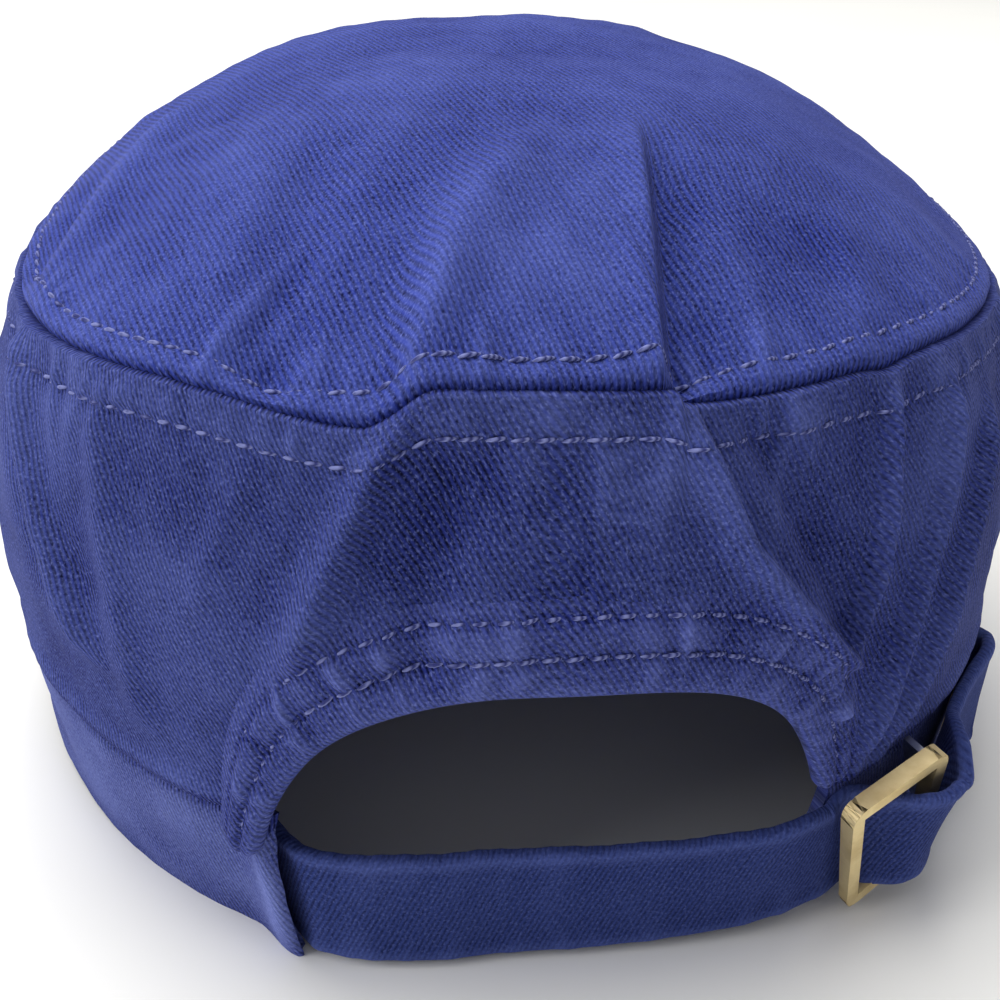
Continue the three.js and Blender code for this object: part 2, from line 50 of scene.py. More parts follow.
camera_heading = 175.68
camera_height_angle = 28.46
camera_lens = 46.93

# The peak's front edge fixes where the middle of the head lies in the frame.
peak_front = 143.5
shift = Vector((0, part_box("peak")[0][1] * 1000 + peak_front, 0))

camera_data = bpy.data.cameras.new("camera")
camera_data.lens = camera_lens
camera_data.sensor_width = 36
camera_data.clip_start = 0.005
camera = bpy.data.objects.new("camera", camera_data)
bpy.context.scene.collection.objects.link(camera)
camera.location = (camera_place + shift) / 1000
turn = math.radians(camera_heading)
tip = math.radians(camera_height_angle)
backward = Vector((math.sin(turn) * math.cos(tip), -math.cos(turn) * math.cos(tip), math.sin(tip)))
camera.rotation_mode = "QUATERNION"
camera.rotation_quaternion = (-backward).to_track_quat("-Z", "Y")
bpy.context.scene.camera = camera

# ---------------------------------------------------------------- Floor and light
# A plain pale table in a bright soft room. A wide lamp high on the far side lights the
# top panel. The back of the cap is lit by the room and by a faint window on the left.


def hex_colour(code):
    parts = [int(code[i:i + 2], 16) / 255 for i in (1, 3, 5)]
    return (*[c / 12.92 if c <= 0.04045 else ((c + 0.055) / 1.055) ** 2.4 for c in parts], 1)


def new_material(name):
    material = bpy.data.materials.new(name)
    material.use_nodes = True
    return material, material.node_tree, material.node_tree.nodes["Principled BSDF"]


def set_sockets(tree, node, sockets):
    """Links each socket to an output or to a node's first live output, or sets its value."""
    for name, value in sockets.items():
        if isinstance(value, bpy.types.Node):
            value = next(output for output in value.outputs if output.enabled)
        if isinstance(value, bpy.types.NodeSocket):
            tree.links.new(value, node.inputs[name])
        else:
            node.inputs[name].default_value = value


def add_node(tree, kind, sockets, **settings):
    node = tree.nodes.new("ShaderNode" + kind)
    for name, value in settings.items():
        setattr(node, name, value)
    set_sockets(tree, node, sockets)
    return node


bpy.ops.object.select_all(action="DESELECT")
floor_half = 2.5
bpy.ops.mesh.primitive_grid_add(x_subdivisions=8, y_subdivisions=8, size=2 * floor_half)
floor = bpy.context.object
floor.name = "floor"

# Matt white laminate: even, with the faintest mottle.
floor_material, tree, shader = new_material("white table laminate")
place = add_node(tree, "TexCoord", {}).outputs["Object"]
mottle = add_node(tree, "TexNoise", {"Vector": place, "Scale": 9.0, "Detail": 3.0})
tone = add_node(tree, "ValToRGB", {"Fac": mottle})
tone.color_ramp.elements[0].color = hex_colour("#f2f2ee")
tone.color_ramp.elements[1].color = hex_colour("#f6f6f3")
set_sockets(tree, shader, {"Base Color": tone, "Roughness": 0.65, "Specular IOR Level": 0.3})
floor.data.materials.append(floor_material)

world = bpy.data.worlds.new("soft room")
bpy.context.scene.world = world
world.use_nodes = True
room = world.node_tree.nodes["Background"]
set_sockets(world.node_tree, room, {"Color": hex_colour("#fbfbff"), "Strength": 0.4})
bpy.context.scene.view_settings.view_transform = "Standard"

# Lamps: name, place, size across in metres, watts and tint.
lamps = [
    ("ceiling light", (0.3, -0.42, 1.6), 1.6, 32, "#fffdf8"),
    ("window", (1.2, 0.35, 0.6), 0.8, 8, "#fafaff"),
]
lit_place = Vector((0, 0.03, 0.06))
for name, place, size, watts, tint in lamps:
    lamp_data = bpy.data.lights.new(name, "AREA")
    lamp_data.shape = "DISK"
    lamp_data.size = size
    lamp_data.energy = watts
    lamp_data.color = hex_colour(tint)[:3]
    lamp = bpy.data.objects.new(name, lamp_data)
    bpy.context.scene.collection.objects.link(lamp)
    lamp.location = place
    lamp.rotation_mode = "QUATERNION"
    lamp.rotation_quaternion = (lit_place - lamp.location).to_track_quat("-Z", "Y")

# ---------------------------------------------------------------- Crown wall
# The upright band of the crown: washed cotton twill, cut in two and joined by a seam down
# the middle of the back. Its upper edge is sewn to the top panel, and the allowance of
# that seam is turned down and stitched flat, which puckers the cloth along it.
# Headings are degrees from the middle of the back, rise is 0 at the rim and 1 at the seam.
rim = {"half_width": 87.6, "back": 92, "front": 91.5, "power": 1.92}
rim_lift, rim_lift_from, rim_lift_power = 24.5, 60, 1.15
seam = {"half_width": 77.5, "back": 86.8, "front": 90.7, "power": 2.3}
seam_back_height, seam_front_height, seam_droop = 86.6, 94, 7
wall_bulge, side_ease, side_raise = 5.9, 0.2, 0.5
band_top = 0.3
arch = {"half_width": 26.7, "rise": 0.585, "left_power": 2.4, "right_power": 3.2, "crown_power": 2.6}
mm_per_degree, mm_per_rise = 1.56, 87
crown_cloth, join_gap = 1.6, 0.0035

# The seam is held up between the pleat and a tuck on the left, and sags beyond them. Each
# sag has its heading, its depth in mm, and its half width in degrees on either side.
held_up, held_from, held_to = 1.8, -8.5, 7.5
seam_sags = [
    {"at": 14, "depth": 3.6, "half": (3.2, 12)},
    {"at": -13, "depth": 1.3, "half": (14, 12)},
    {"at": -30.5, "depth": 0.9, "half": (2.6, 2.6)},
]

# Folds of the wall: the rise and heading where each starts and where it ends, its height
# in mm, and its half width in mm towards lower headings and towards higher ones.
wall_folds = [
    ((0.5, 44), (1, 60), 2.8, (3.8, 4.2)),
    ((0.55, 53), (1, 68), -2.2, (5, 5)),
    ((0.42, 37.5), (0.95, 41.5), 1.6, (3.4, 4)),
    ((0.62, 20), (0.99, 11), 3.2, (2.4, 3.4)),
    ((0.6, 11), (0.92, 6), -2, (4, 4)),
    ((0.78, -14.6), (1.04, -8), 3.2, (0.6, 3.2)),
    ((0.55, -26), (0.78, -14.6), 3.5, (0.9, 3.6)),
    ((0.58, -26.5), (0.98, -14), -2, (5, 2.6)),
    ((0.56, -26.5), (0.95, -30), 2.8, (1.7, 1.3)),
    ((0.34, -29), (0.96, -39), 3, (2, 1.6)),
    ((0.34, -32.5), (0.86, -48), 3, (2.2, 1.9)),
    ((0.4, 68), (0.9, 76), 1.2, (6, 6)),
    ((0.4, -66), (0.9, -74), 1.3, (6, 6)),
    ((0.4, 118), (0.9, 112), 1, (7, 7)),
    ((0.4, -122), (0.9, -114), 1, (7, 7)),
    ((0.66, 30), (0.9, 24), 0.7, (2.6, 2.6)),
    ((0.72, -13), (0.82, -20), 0.5, (1.6, 1.6)),
]

# The allowance of the centre-back seam lies under the cloth from the seam line to here.
back_seam_at, allowance_at = -2, -8
allowance_height, back_groove = 0.3, 0.25
seam_row_drop, seam_padding = 5.4, 0.3

# The drag of the seam reaches down to this rise, and below the other one every step off
# the wall is level. Folds fade out over a last share of the wall that ends at fold_end.
drag_from, level_below = 0.72, 0.2
fold_end, fold_fade = 1.03, 0.12

# Puckers run all round in mm from the middle of the back. The smallest stay at the back,
# where the cloth has vertices enough: they fade out over ten degrees.
all_round = (-275, 275)
small_to, small_fade = 68, 10


def mix(a, b, t):
    return a + (b - a) * t


def smooth(t):
    t = np.clip(t, 0, 1)
    return t * t * (3 - 2 * t)


def bump(offset, half):
    return np.exp(-((offset / half) ** 2))


def powered(value, power):
    return np.sign(value) * np.abs(value) ** power


def stacked(x, y, z):
    return np.stack(np.broadcast_arrays(x, y, z), axis=-1).astype(float)


def unit(vectors):
    return vectors / np.linalg.norm(vectors, axis=-1, keepdims=True)


def oval(heading, ring):
    s, c = np.sin(np.radians(heading)), np.cos(np.radians(heading))
    reach = np.where(c > 0, ring["back"], ring["front"])
    return ring["half_width"] * powered(s, 2 / ring["power"]), reach * powered(c, 2 / ring["power"])


def rim_point(heading):
    x, y = oval(heading, rim)
    forward = np.clip((rim_lift_from - y) / (rim_lift_from + rim["front"]), 0, 1)
    return stacked(x, y, rim_lift * forward ** rim_lift_power)


def seam_pull(heading):
    held = smooth((heading - held_from) / 0.7 + 0.5) * (1 - smooth((heading - held_to) / 4))
    pull = held_up * held
    for sag in seam_sags:
        side = heading - sag["at"]
        pull = pull - sag["depth"] * bump(side, np.where(side < 0, *sag["half"]))
    return pull


def seam_point(heading, drag=1):
    x, y = oval(heading, seam)
    forward = (seam["back"] - y) / (seam["back"] + seam["front"])
    droop = seam_droop * np.abs(np.sin(np.radians(heading))) ** 3
    z = mix(seam_back_height, seam_front_height, forward) - droop
    return stacked(x, y, z + drag * seam_pull(heading))


def wall_base(heading, rise, drag=1):
    rise = np.asarray(rise)
    near_seam = smooth((rise - drag_from) / (1 - drag_from))
    points = mix(rim_point(heading), seam_point(heading, drag * near_seam), rise[..., None])
    length = np.hypot(points[..., 0], points[..., 1])
    sideways = np.sin(np.radians(heading)) ** 2
    along = powered(rise, 1 + side_raise * sideways)
    out = wall_bulge * (1 - side_ease * sideways) * 4 * along * (1 - along) / length
    points[..., :2] *= 1 + out[..., None]
    return points


def wall_normal(heading, rise):
    across = wall_base(heading + 0.5, rise, 0) - wall_base(heading - 0.5, rise, 0)
    up = wall_base(heading, rise + 0.01, 0) - wall_base(heading, rise - 0.01, 0)
    return unit(np.cross(up, across))


def off_wall(heading, rise, out):
    """A step off the wall. At the rim the step is level, so the hem stands flat."""
    normal = wall_normal(heading, rise)
    level = unit(normal * (1, 1, 0))
    step = mix(level, normal, smooth(rise / level_below)[..., None])
    return wall_base(heading, rise) + step * np.asarray(out)[..., None]


def wall_fold_height(heading, rise):
    height = np.zeros_like(rise)
    for (low_rise, low_at), (high_rise, high_at), fold_height, half in wall_folds:
        along = (rise - low_rise) / (high_rise - low_rise)
        side = (heading - mix(low_at, high_at, along)) * mm_per_degree
        ends = smooth(along / 0.25 + 0.5) * smooth((1 - along) / 0.25 + 0.5)
        height += fold_height * ends * bump(side, np.where(side < 0, *half))
    return height * smooth((fold_end - rise) / fold_fade)


def crumple(points, seed, height, shortest, longest):
    """Soft uneven cloth: waves of random direction and length, in mm."""
    draw = random.Random(seed)
    total = np.zeros(points.shape[:-1])
    waves = 14
    for _ in range(waves):
        way = np.array([draw.gauss(0, 1) for _ in range(3)])
        length = draw.uniform(shortest, longest)
        wave = points @ unit(way) * 2 * math.pi / length + draw.uniform(0, 6.3)
        total += np.sin(wave) * length / longest
    return total * height / math.sqrt(waves)


def puckers(along, across, seed, span, pitch, height, half, reach):
    """Short ridges that stand across a line of stitches, in mm along and away from it."""
    draw = random.Random(seed)
    total = np.zeros_like(along)
    at = span[0] + pitch
    while at < span[1] - pitch:
        size, width = height * draw.uniform(-0.5, 1), half * draw.uniform(0.6, 1.4)
        length, slant = reach * draw.uniform(0.5, 1.3), draw.uniform(-0.4, 0.4)
        total += size * bump(along - at - slant * across, width) * bump(across, length)
        at += pitch * draw.uniform(0.5, 1.5)
    return total


def seam_ridge(away, row, padding):
    """Cloth beside a seam at a distance in mm: it dives into the seam, stands up over the
    allowance, and is drawn down by the row of stitches."""
    roll = -2 * (1 - smooth(away / 0.8)) ** 1.6
    pad = padding * smooth(away / 1.2) * (1 - smooth((away - row + 0.9) / 1.8))
    return roll + pad - 0.6 * padding * bump(away - row, 0.7)


def at_back(heading):
    return smooth((small_to - np.abs(heading)) / small_fade)


def wall_detail(heading, rise):
    """Height of the small relief on the wall, in mm."""
    away = (1 - rise) * mm_per_rise
    along = heading * mm_per_degree
    height = seam_ridge(away, seam_row_drop, seam_padding)
    small = puckers(along, away - 3.6, 3, all_round, pitch=3.8, height=0.95, half=1.1, reach=2.6)
    height += at_back(heading) * small
    height += puckers(along, away - 8, 4, all_round, pitch=7, height=0.8, half=2, reach=9)
    # The seam down the back and the puckers over its allowance.
    below = smooth((away - 1) / 4)
    from_seam = (heading - back_seam_at) * mm_per_degree
    allowance = (back_seam_at - allowance_at) * mm_per_degree
    pad = smooth(-from_seam / 0.7) * smooth((from_seam + allowance) / 1.2)
    height += below * (allowance_height * pad - back_groove * bump(from_seam, 0.6))
    rungs = puckers(away, from_seam + 4.7, 5, (4, 42), pitch=3, height=0.6, half=0.8, reach=4.2)
    height += below * rungs
    # The turned lower edge stands proud of the headband.
    from_band = (rise - band_top) * mm_per_rise
    height += 0.9 * bump(from_band - 1.4, 1.9) * smooth((np.abs(heading) - 24) / 8)
    points = wall_base(heading, rise)
    height += crumple(points, 11, height=0.5, shortest=9, longest=34) * smooth((away - 3) / 6)
    return height + crumple(points, 12, height=0.14, shortest=3, longest=8)


def wall_point(heading, rise, out=0.0):
    height = wall_fold_height(heading, rise) + wall_detail(heading, rise)
    return off_wall(heading, rise, height + out)


def arch_rise(heading):
    power = np.where(heading > 0, arch["left_power"], arch["right_power"])
    share = np.clip(np.abs(heading) / arch["half_width"], 0, 1)
    return arch["rise"] * (1 - share ** power) ** (1 / arch["crown_power"])


def cloth_grid(name, across, up, lay, flip=False, joined=False):
    """A grid with a line of vertices for each value of across and up, laid in place by
    lay(a, u): points in mm, the place on the cloth in mm, and for each point the value that pales the
    cloth where washing has worn it and darkens it with painted shade in hollows, grooves and joins."""
    bpy.ops.object.select_all(action="DESELECT")
    columns, rows = len(across) - 1, len(up) - 1
    bpy.ops.mesh.primitive_grid_add(x_subdivisions=columns, y_subdivisions=rows, size=1)
    piece = bpy.context.object
    piece.name = piece.data.name = name
    mesh = piece.data
    flat = np.empty(len(mesh.vertices) * 3)
    mesh.vertices.foreach_get("co", flat)
    share = flat.reshape(-1, 3) + 0.5
    a = np.asarray(across, float)[np.rint(share[:, 0] * columns).astype(int)]
    u = np.asarray(up, float)[np.rint(share[:, 1] * rows).astype(int)]
    points, pattern, wear_and_shade = lay(a, u)
    mesh.vertices.foreach_set("co", ((points + np.array(shift)) / 1000).ravel())
    corners = np.empty(len(mesh.loops), int)
    mesh.loops.foreach_get("vertex_index", corners)
    mesh.uv_layers[0].data.foreach_set("uv", pattern[corners].ravel())
    mesh.attributes.new("wear_and_shade", "FLOAT", "POINT").data.foreach_set("value", wear_and_shade)
    bpy.ops.object.mode_set(mode="EDIT")
    bpy.ops.mesh.select_all(action="SELECT")
    if joined:
        bpy.ops.mesh.remove_doubles(threshold=2e-6)
    if flip:
        bpy.ops.mesh.flip_normals()
    bpy.ops.object.mode_set(mode="OBJECT")
    return piece


def select_only(piece):
    bpy.ops.object.select_all(action="DESELECT")
    piece.select_set(True)
    bpy.context.view_layer.objects.active = piece


def apply_modifier(piece, kind, **settings):
    modifier = piece.modifiers.new(kind.lower(), kind)
    for name, value in settings.items():
        setattr(modifier, name, value)
    select_only(piece)
    bpy.ops.object.modifier_apply(modifier=modifier.name)


def finish_piece(piece, material, slot, *nodes, crease=50):
    select_only(piece)
    bpy.ops.object.shade_smooth_by_angle(angle=math.radians(crease))
    piece.data.materials.clear()
    piece.data.materials.append(material)
    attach(piece, "root")
    if nodes:
        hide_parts(*nodes)


# A wave texture of scale 1 repeats every 0.314 units.
wave_repeat = 0.314


def twill(name, groove_shade, ground, worn, fleck, wale_turn, pitch, relief):
    """Garment-washed cotton twill: slanting ribs of dyed warp with painted shade in the grooves
    between them, paler where washing has worn the ridges, darker where painted shade lies in hollows and
    joins, and a soft mottle of uneven dye."""
    material, tree, shader = new_material(name)
    cloth = add_node(tree, "UVMap", {}, uv_map="UVMap")
    turned = add_node(tree, "Mapping", {"Vector": cloth, "Rotation": (0, 0, math.radians(wale_turn))})
    ribs = add_node(tree, "TexWave", {
        "Vector": turned, "Scale": wave_repeat / pitch, "Distortion": 0.8, "Detail": 2.0,
        "Detail Scale": 1.4}).outputs["Fac"]
    cross = add_node(tree, "Mapping", {"Vector": turned, "Rotation": (0, 0, math.radians(64))})
    yarns = add_node(tree, "TexWave", {
        "Vector": cross, "Scale": wave_repeat / (0.62 * pitch), "Distortion": 1.6,
        "Detail": 1.0}).outputs["Fac"]
    slub_place = add_node(tree, "Mapping", {"Vector": turned, "Scale": (1.3, 0.22, 1)})
    slubs = add_node(tree, "TexNoise", {"Vector": slub_place, "Scale": 1.0, "Detail": 3.0})
    specks = add_node(tree, "TexNoise", {"Vector": cloth, "Scale": 1.9, "Detail": 2.0})
    mottle = add_node(tree, "TexNoise", {
        "Vector": cloth, "Scale": 0.09, "Detail": 4.0, "Roughness": 0.6})
    # The per-point value of the cloth: paler where washing has worn raised places, and painted shade
    # where it is low in hollows, grooves and joins.
    rubbed_and_shaded = add_node(tree, "Attribute", {}, attribute_name="wear_and_shade").outputs["Fac"]
    # Height of the weave: the rib, broken by the yarns and the slubs.
    height = add_node(tree, "Math", {0: yarns, 1: 0.16, 2: ribs}, operation="MULTIPLY_ADD")
    height = add_node(tree, "Math", {0: slubs, 1: 0.9, 2: height}, operation="MULTIPLY_ADD")
    weave = add_node(tree, "MapRange", {"Value": height, "From Min": 0.5, "From Max": 1.4})
    # The grooves between the ribs take the dark groove colour: painted shade in the weave.
    shades = {0: weave, 6: hex_colour(groove_shade), 7: hex_colour(ground)}
    colour = add_node(tree, "Mix", shades, data_type="RGBA")
    # Wash and painted shade: how washed the cloth is on raised places with painted shade in its hollows,
    # grooves and joins, the mottle and the pale specks together.
    wash_and_shade = add_node(tree, "Math", {0: mottle, 1: 0.5, 2: rubbed_and_shaded}, operation="MULTIPLY_ADD")
    wash_and_shade = add_node(tree, "Math", {0: specks, 1: 1.1, 2: wash_and_shade}, operation="MULTIPLY_ADD")
    pale = add_node(tree, "MapRange", {"Value": wash_and_shade, "From Min": 1.0, "From Max": 2.2})
    colour = add_node(tree, "Mix", {0: pale, 6: colour, 7: hex_colour(worn)}, data_type="RGBA")
    # Fibres that washing has teased out catch the light as short pale flecks, drawn
    # coarser than real ones so that they show.
    fibre_place = add_node(tree, "Mapping", {"Vector": turned, "Scale": (3.4, 1.8, 1)})
    fibres = add_node(tree, "TexNoise", {"Vector": fibre_place, "Scale": 1.0, "Detail": 1.0})
    flecks = add_node(tree, "MapRange", {
        "Value": fibres, "From Min": 0.54, "From Max": 0.76, "To Max": 0.5})
    colour = add_node(tree, "Mix", {0: flecks, 6: colour, 7: hex_colour(fleck)}, data_type="RGBA")
    bumps = add_node(tree, "Bump", {"Height": weave, "Strength": relief, "Distance": 0.00018})
    set_sockets(tree, shader, {
        "Base Color": colour, "Normal": bumps, "Roughness": 0.92, "Specular IOR Level": 0.12,
        "Sheen Weight": 0.12, "Sheen Roughness": 0.4, "Sheen Tint": hex_colour("#9aa2ea")})
    return material


# On the wall the ribs stand steeply; their pitch is 0.73 mm. Its colours are darker than the
# top panel's twill: painted shade on the wall, which faces away from the lamp.
wall_twill_shaded = twill("washed blue twill, wall", "#05082a", "#242f78", "#5e6bb0", "#7480c4", 28, 0.73, 0.8)

# Columns and rows: fine at the back, finest at the pleat and beside the seam.
fine_headings = np.concatenate([
    np.arange(-64, -22, 0.5), np.arange(-22, -5, 0.25), np.arange(-5, 64.01, 0.5)])
left_headings = np.linspace(64, 180, 90)[1:]
crown_headings = np.concatenate([-left_headings[::-1], fine_headings, left_headings])
wall_shares = np.concatenate([np.linspace(0, 0.86, 58), np.linspace(0.86, 1, 22)[1:]])


def lay_wall(heading, u):
    low = np.maximum(band_top, arch_rise(heading)) + join_gap
    rise = mix(low, 1, u)
    # Paler on raised folds, pads and puckers where washing has worn them; darker in fold hollows, pucker
    # dips and the seam's dip as painted shade.
    relief = wall_fold_height(heading, rise) * 0.05 + wall_detail(heading, rise) * 0.28
    # Painted shade: a dark line in the groove where the wall meets the headband.
    relief -= 0.9 * bump((rise - band_top) * mm_per_rise - 0.3, 1.1)
    points = wall_point(heading, rise)
    pattern = np.stack([heading * mm_per_degree, rise * mm_per_rise], axis=-1)
    return points, pattern, 0.45 + relief


wall = cloth_grid("crown_wall_cloth", crown_headings, wall_shares, lay_wall, flip=True, joined=True)
apply_modifier(wall, "SOLIDIFY", thickness=crown_cloth / 1000, offset=-1)
finish_piece(wall, wall_twill_shaded, "twill", "crown_wall")

# ---------------------------------------------------------------- Top panel
# The oval of the same twill that closes the crown, lightly domed. It is sewn to the wall
# with its allowance turned inwards and stitched down, and a pleat runs in from the back.
dome, dome_power, rim_blend = 22.5, 2.9, 1.6
top_reach, top_row_in, top_padding = 82, 2.9, 0.28
top_drag_from = 0.55

# Folds of the top panel: the x and y where each starts and where it ends, its height, and
# its half width on either side, all in mm.
top_folds = [
    ((52, -2), (68, 50), 2, (4.5, 4.5)),
    ((66, 6), (72, 34), -2.2, (4, 4)),
    ((34, 82), (27, 40), -2.4, (5, 5)),
    ((16, 82), (0, 46), 2.3, (5, 5)),
    ((-12.8, 92), (-16.6, 46), 2.1, (4.4, 0.5)),
    ((-12.8, 92), (-16.6, 46), -3, (0.5, 5)),
    ((-40, 80), (-43, 54), 0.9, (3.5, 3.5)),
]
pleat_start, pleat_end = top_folds[5][:2]
pleat_step = 4.2


def beside_fold(start, end, x, y):
    """Distance in mm to the side of a fold's line, and how full the fold is there."""
    from_x, from_y = start
    dx, dy = end[0] - from_x, end[1] - from_y
    length = math.hypot(dx, dy)
    along = ((x - from_x) * dx + (y - from_y) * dy) / length ** 2
    side = ((x - from_x) * dy - (y - from_y) * dx) / length
    return side, smooth(along / 0.3 + 0.5) * smooth((1 - along) / 0.5 + 0.5)


def top_fold_height(x, y):
    height = np.zeros_like(x)
    for start, end, fold_height, half in top_folds:
        side, full = beside_fold(start, end, x, y)
        height += fold_height * full * bump(side, np.where(side < 0, *half))
    return height


def top_base(heading, share, folds=1):
    edge = seam_point(heading, smooth((share - top_drag_from) / (1 - top_drag_from)) * folds)
    middle_y = (seam["back"] - seam["front"]) / 2
    middle_z = mix(seam_back_height, seam_front_height, 0.5) - seam_droop * 0.35
    x, y = edge[..., 0] * share, mix(middle_y, edge[..., 1], share)
    z = mix(middle_z, edge[..., 2], share ** rim_blend) + dome * (1 - share ** dome_power)
    z += folds * top_fold_height(x, y) * smooth((1 - share) / 0.06 + 0.3)
    return stacked(x, y, z)


def top_normal(heading, share):
    here = np.maximum(share, 0.06)
    across = top_base(heading + 1, here, 0) - top_base(heading - 1, here, 0)
    inward = top_base(heading, here - 0.02, 0) - top_base(heading, here, 0)
    return unit(np.cross(inward, across))


def top_detail(heading, share):
    away = (1 - share) * top_reach
    along = heading * mm_per_degree
    height = seam_ridge(away, top_row_in, top_padding)
    small = puckers(along, away - 4, 23, all_round, pitch=4.6, height=0.7, half=1.2, reach=3)
    height += at_back(heading) * small
    height += puckers(along, away - 9, 24, all_round, pitch=10, height=0.6, half=2.4, reach=8)
    points = top_base(heading, share)
    height += crumple(points, 31, height=0.45, shortest=12, longest=40) * smooth((away - 3) / 8)
    return height + crumple(points, 32, height=0.1, shortest=3, longest=9)


def top_point(heading, share, out=0.0):
    height = top_detail(heading, share) + out
    return top_base(heading, share) + top_normal(heading, share) * np.asarray(height)[..., None]


def lay_top(heading, u):
    points = top_point(heading, u)
    # Paler on raised folds and puckers where washing has worn them; darker in hollows and the seam's dip
    # as painted shade.
    relief = top_fold_height(points[:, 0], points[:, 1]) * 0.04 + top_detail(heading, u) * 0.28
    # The pattern follows the cloth's own length from the middle of the panel, and down
    # the steep side of the pleat.
    steps = np.linspace(0, 1, 400)
    drop = dome * (1 - steps ** dome_power) + seam_ridge((1 - steps) * top_reach, top_row_in, 0)
    length = np.concatenate([[0], np.cumsum(np.hypot(np.diff(drop), np.diff(steps) * top_reach))])
    stretch = np.interp(u, steps, length) / np.maximum(u * top_reach, 1)
    pattern = points[:, :2] * stretch[:, None]
    side, full = beside_fold(pleat_start, pleat_end, points[:, 0], points[:, 1])
    pattern[:, 0] -= pleat_step * full * smooth(side / 1.4 + 0.5)
    return points, pattern, 0.45 + relief


# On the top panel the ribs run nearer the diagonal, 0.9 mm apart.
top_twill = twill("washed blue twill, top", "#070b36", "#28368a", "#606fc0", "#707dcc", -18, 0.9, 0.8)
top_shares = np.concatenate([np.linspace(0, 0.9, 58), np.linspace(0.9, 1, 20)[1:]])
top = cloth_grid("crown_top_cloth", crown_headings, top_shares, lay_top, joined=True)
apply_modifier(top, "SOLIDIFY", thickness=crown_cloth / 1000, offset=-1)
finish_piece(top, top_twill, "twill", "crown_top")

# ---------------------------------------------------------------- Headband
# The outer band of twill round the lower rim, cut off at the opening on both sides. At
# the left its end flares out and turns in behind itself, and the strap comes from under it.
hem_low, hem_high, hem_reach = 23.8, 27.6, 6
left_flare, right_flare = 3.2, -0.8
band_cloth, cloth_gap = 2.2, 0.3


def band_detail(heading, rise):
    points = wall_base(heading, rise)
    down = (band_top - rise) * mm_per_rise
    height = -1.8 * (1 - smooth(down / 3)) ** 1.5
    height += 0.3 * smooth(down / 6) * smooth(rise / 0.05)
    along = heading * mm_per_degree
    small = puckers(along, down - 1, 41, all_round, pitch=7, height=0.3, half=2, reach=6)
    height += small * smooth(rise / 0.05)
    height += crumple(points, 42, height=0.3, shortest=9, longest=30) * smooth(rise / 0.08)
    return height + crumple(points, 43, height=0.08, shortest=3, longest=8)


def band_point(heading, rise, out):
    near_hem = smooth(1 - (np.abs(heading) - hem_low) / hem_reach)
    flare = np.where(heading > 0, left_flare, right_flare)
    return off_wall(heading, rise, band_detail(heading, rise) + out + flare * near_hem)


def signed(heading):
    return np.where(heading > 180, heading - 360, heading)


# Columns: below 0 the cloth turns in at the left hem, then headings from hem to hem.
hem_middle = (hem_low + hem_high) / 2
turned_in = np.linspace(-1, 0, 9)[:-1]
band_columns = np.concatenate([
    turned_in, np.arange(hem_middle, 64, 0.5), np.linspace(64, 296, 150),
    np.arange(296.5, 360 - hem_middle, 0.5)])
band_rises = np.linspace(0, band_top - join_gap, 34)


def lay_band(a, u):
    turn = np.clip(-a, 0, 1)
    around_head = np.maximum(a, hem_middle)
    heading = signed(around_head)
    fade = smooth(1 - (np.abs(heading) - hem_low) / 10)
    heading = heading + np.sign(heading) * (u / band_top - 0.5) * (hem_high - hem_low) * fade
    points = band_point(heading, u, -cloth_gap)
    onward = unit(band_point(heading - 0.5, u, 0.0) - band_point(heading + 0.5, u, 0.0))
    inward = -wall_normal(heading, u)
    width = mix(0.9, 5.2, u / band_top)
    step = width * np.sin(turn * 1.35)
    drop = width * 0.85 * (1 - np.cos(turn * 1.35))
    points = points + onward * step[:, None] + inward * drop[:, None]
    pattern = np.stack([around_head * mm_per_degree - turn * width, u * mm_per_rise], axis=-1)
    ridge = bump((heading - hem_middle) * mm_per_degree, 1.8) * np.where(a > 0, 1, 1 - turn)
    # Paler along the left hem's fold where washing has worn it; darker in the groove under the wall's
    # edge and in hollows as painted shade.
    wear_and_shade = 0.42 + 0.55 * ridge * (heading > 0) + 0.5 * band_detail(heading, u)
    return points, pattern, wear_and_shade


band_twill = twill("washed blue twill, band", "#090d38", "#303b86", "#7480c0", "#808cc8", 14, 0.73, 0.7)
band = cloth_grid("headband_cloth", band_columns, band_rises, lay_band, flip=True)
apply_modifier(band, "SOLIDIFY", thickness=band_cloth / 1000, offset=-1)
finish_piece(band, band_twill, "twill", "headband")

# ---------------------------------------------------------------- Sweatband
# A charcoal cotton band inside the rim, folded over at its lower edge and sewn in with
# the headband. It stops short of the opening on both sides.
sweat_top, sweat_low, sweat_cloth, sweat_from = 0.33, 0.02, 1.2, 31


def lay_sweatband(a, u):
    heading = signed(a)
    inside = -cloth_gap - band_cloth - 2 * cloth_gap
    roll = 0.5 * bump((u - sweat_low) * mm_per_rise, 1.5)
    uneven = crumple(wall_base(heading, u), 52, height=0.12, shortest=8, longest=20)
    points = off_wall(heading, u, inside - roll + uneven)
    pattern = np.stack([a * mm_per_degree, u * mm_per_rise], axis=-1)
    return points, pattern, 0.4 + 0 * u


# Cotton drill: a fine even rib, dull and dark.
lining_drill = twill(
    "charcoal cotton drill, sweatband", "#16181c", "#2b2f36", "#454a52", "#50555e", 45, 0.6, 0.5)
sweatband = cloth_grid(
    "sweatband_cloth", np.linspace(sweat_from, 360 - sweat_from, 220),
    np.linspace(sweat_low, sweat_top, 14), lay_sweatband, flip=True)
apply_modifier(sweatband, "SOLIDIFY", thickness=sweat_cloth / 1000, offset=-1)
finish_piece(sweatband, lining_drill, "lining", "sweatband")

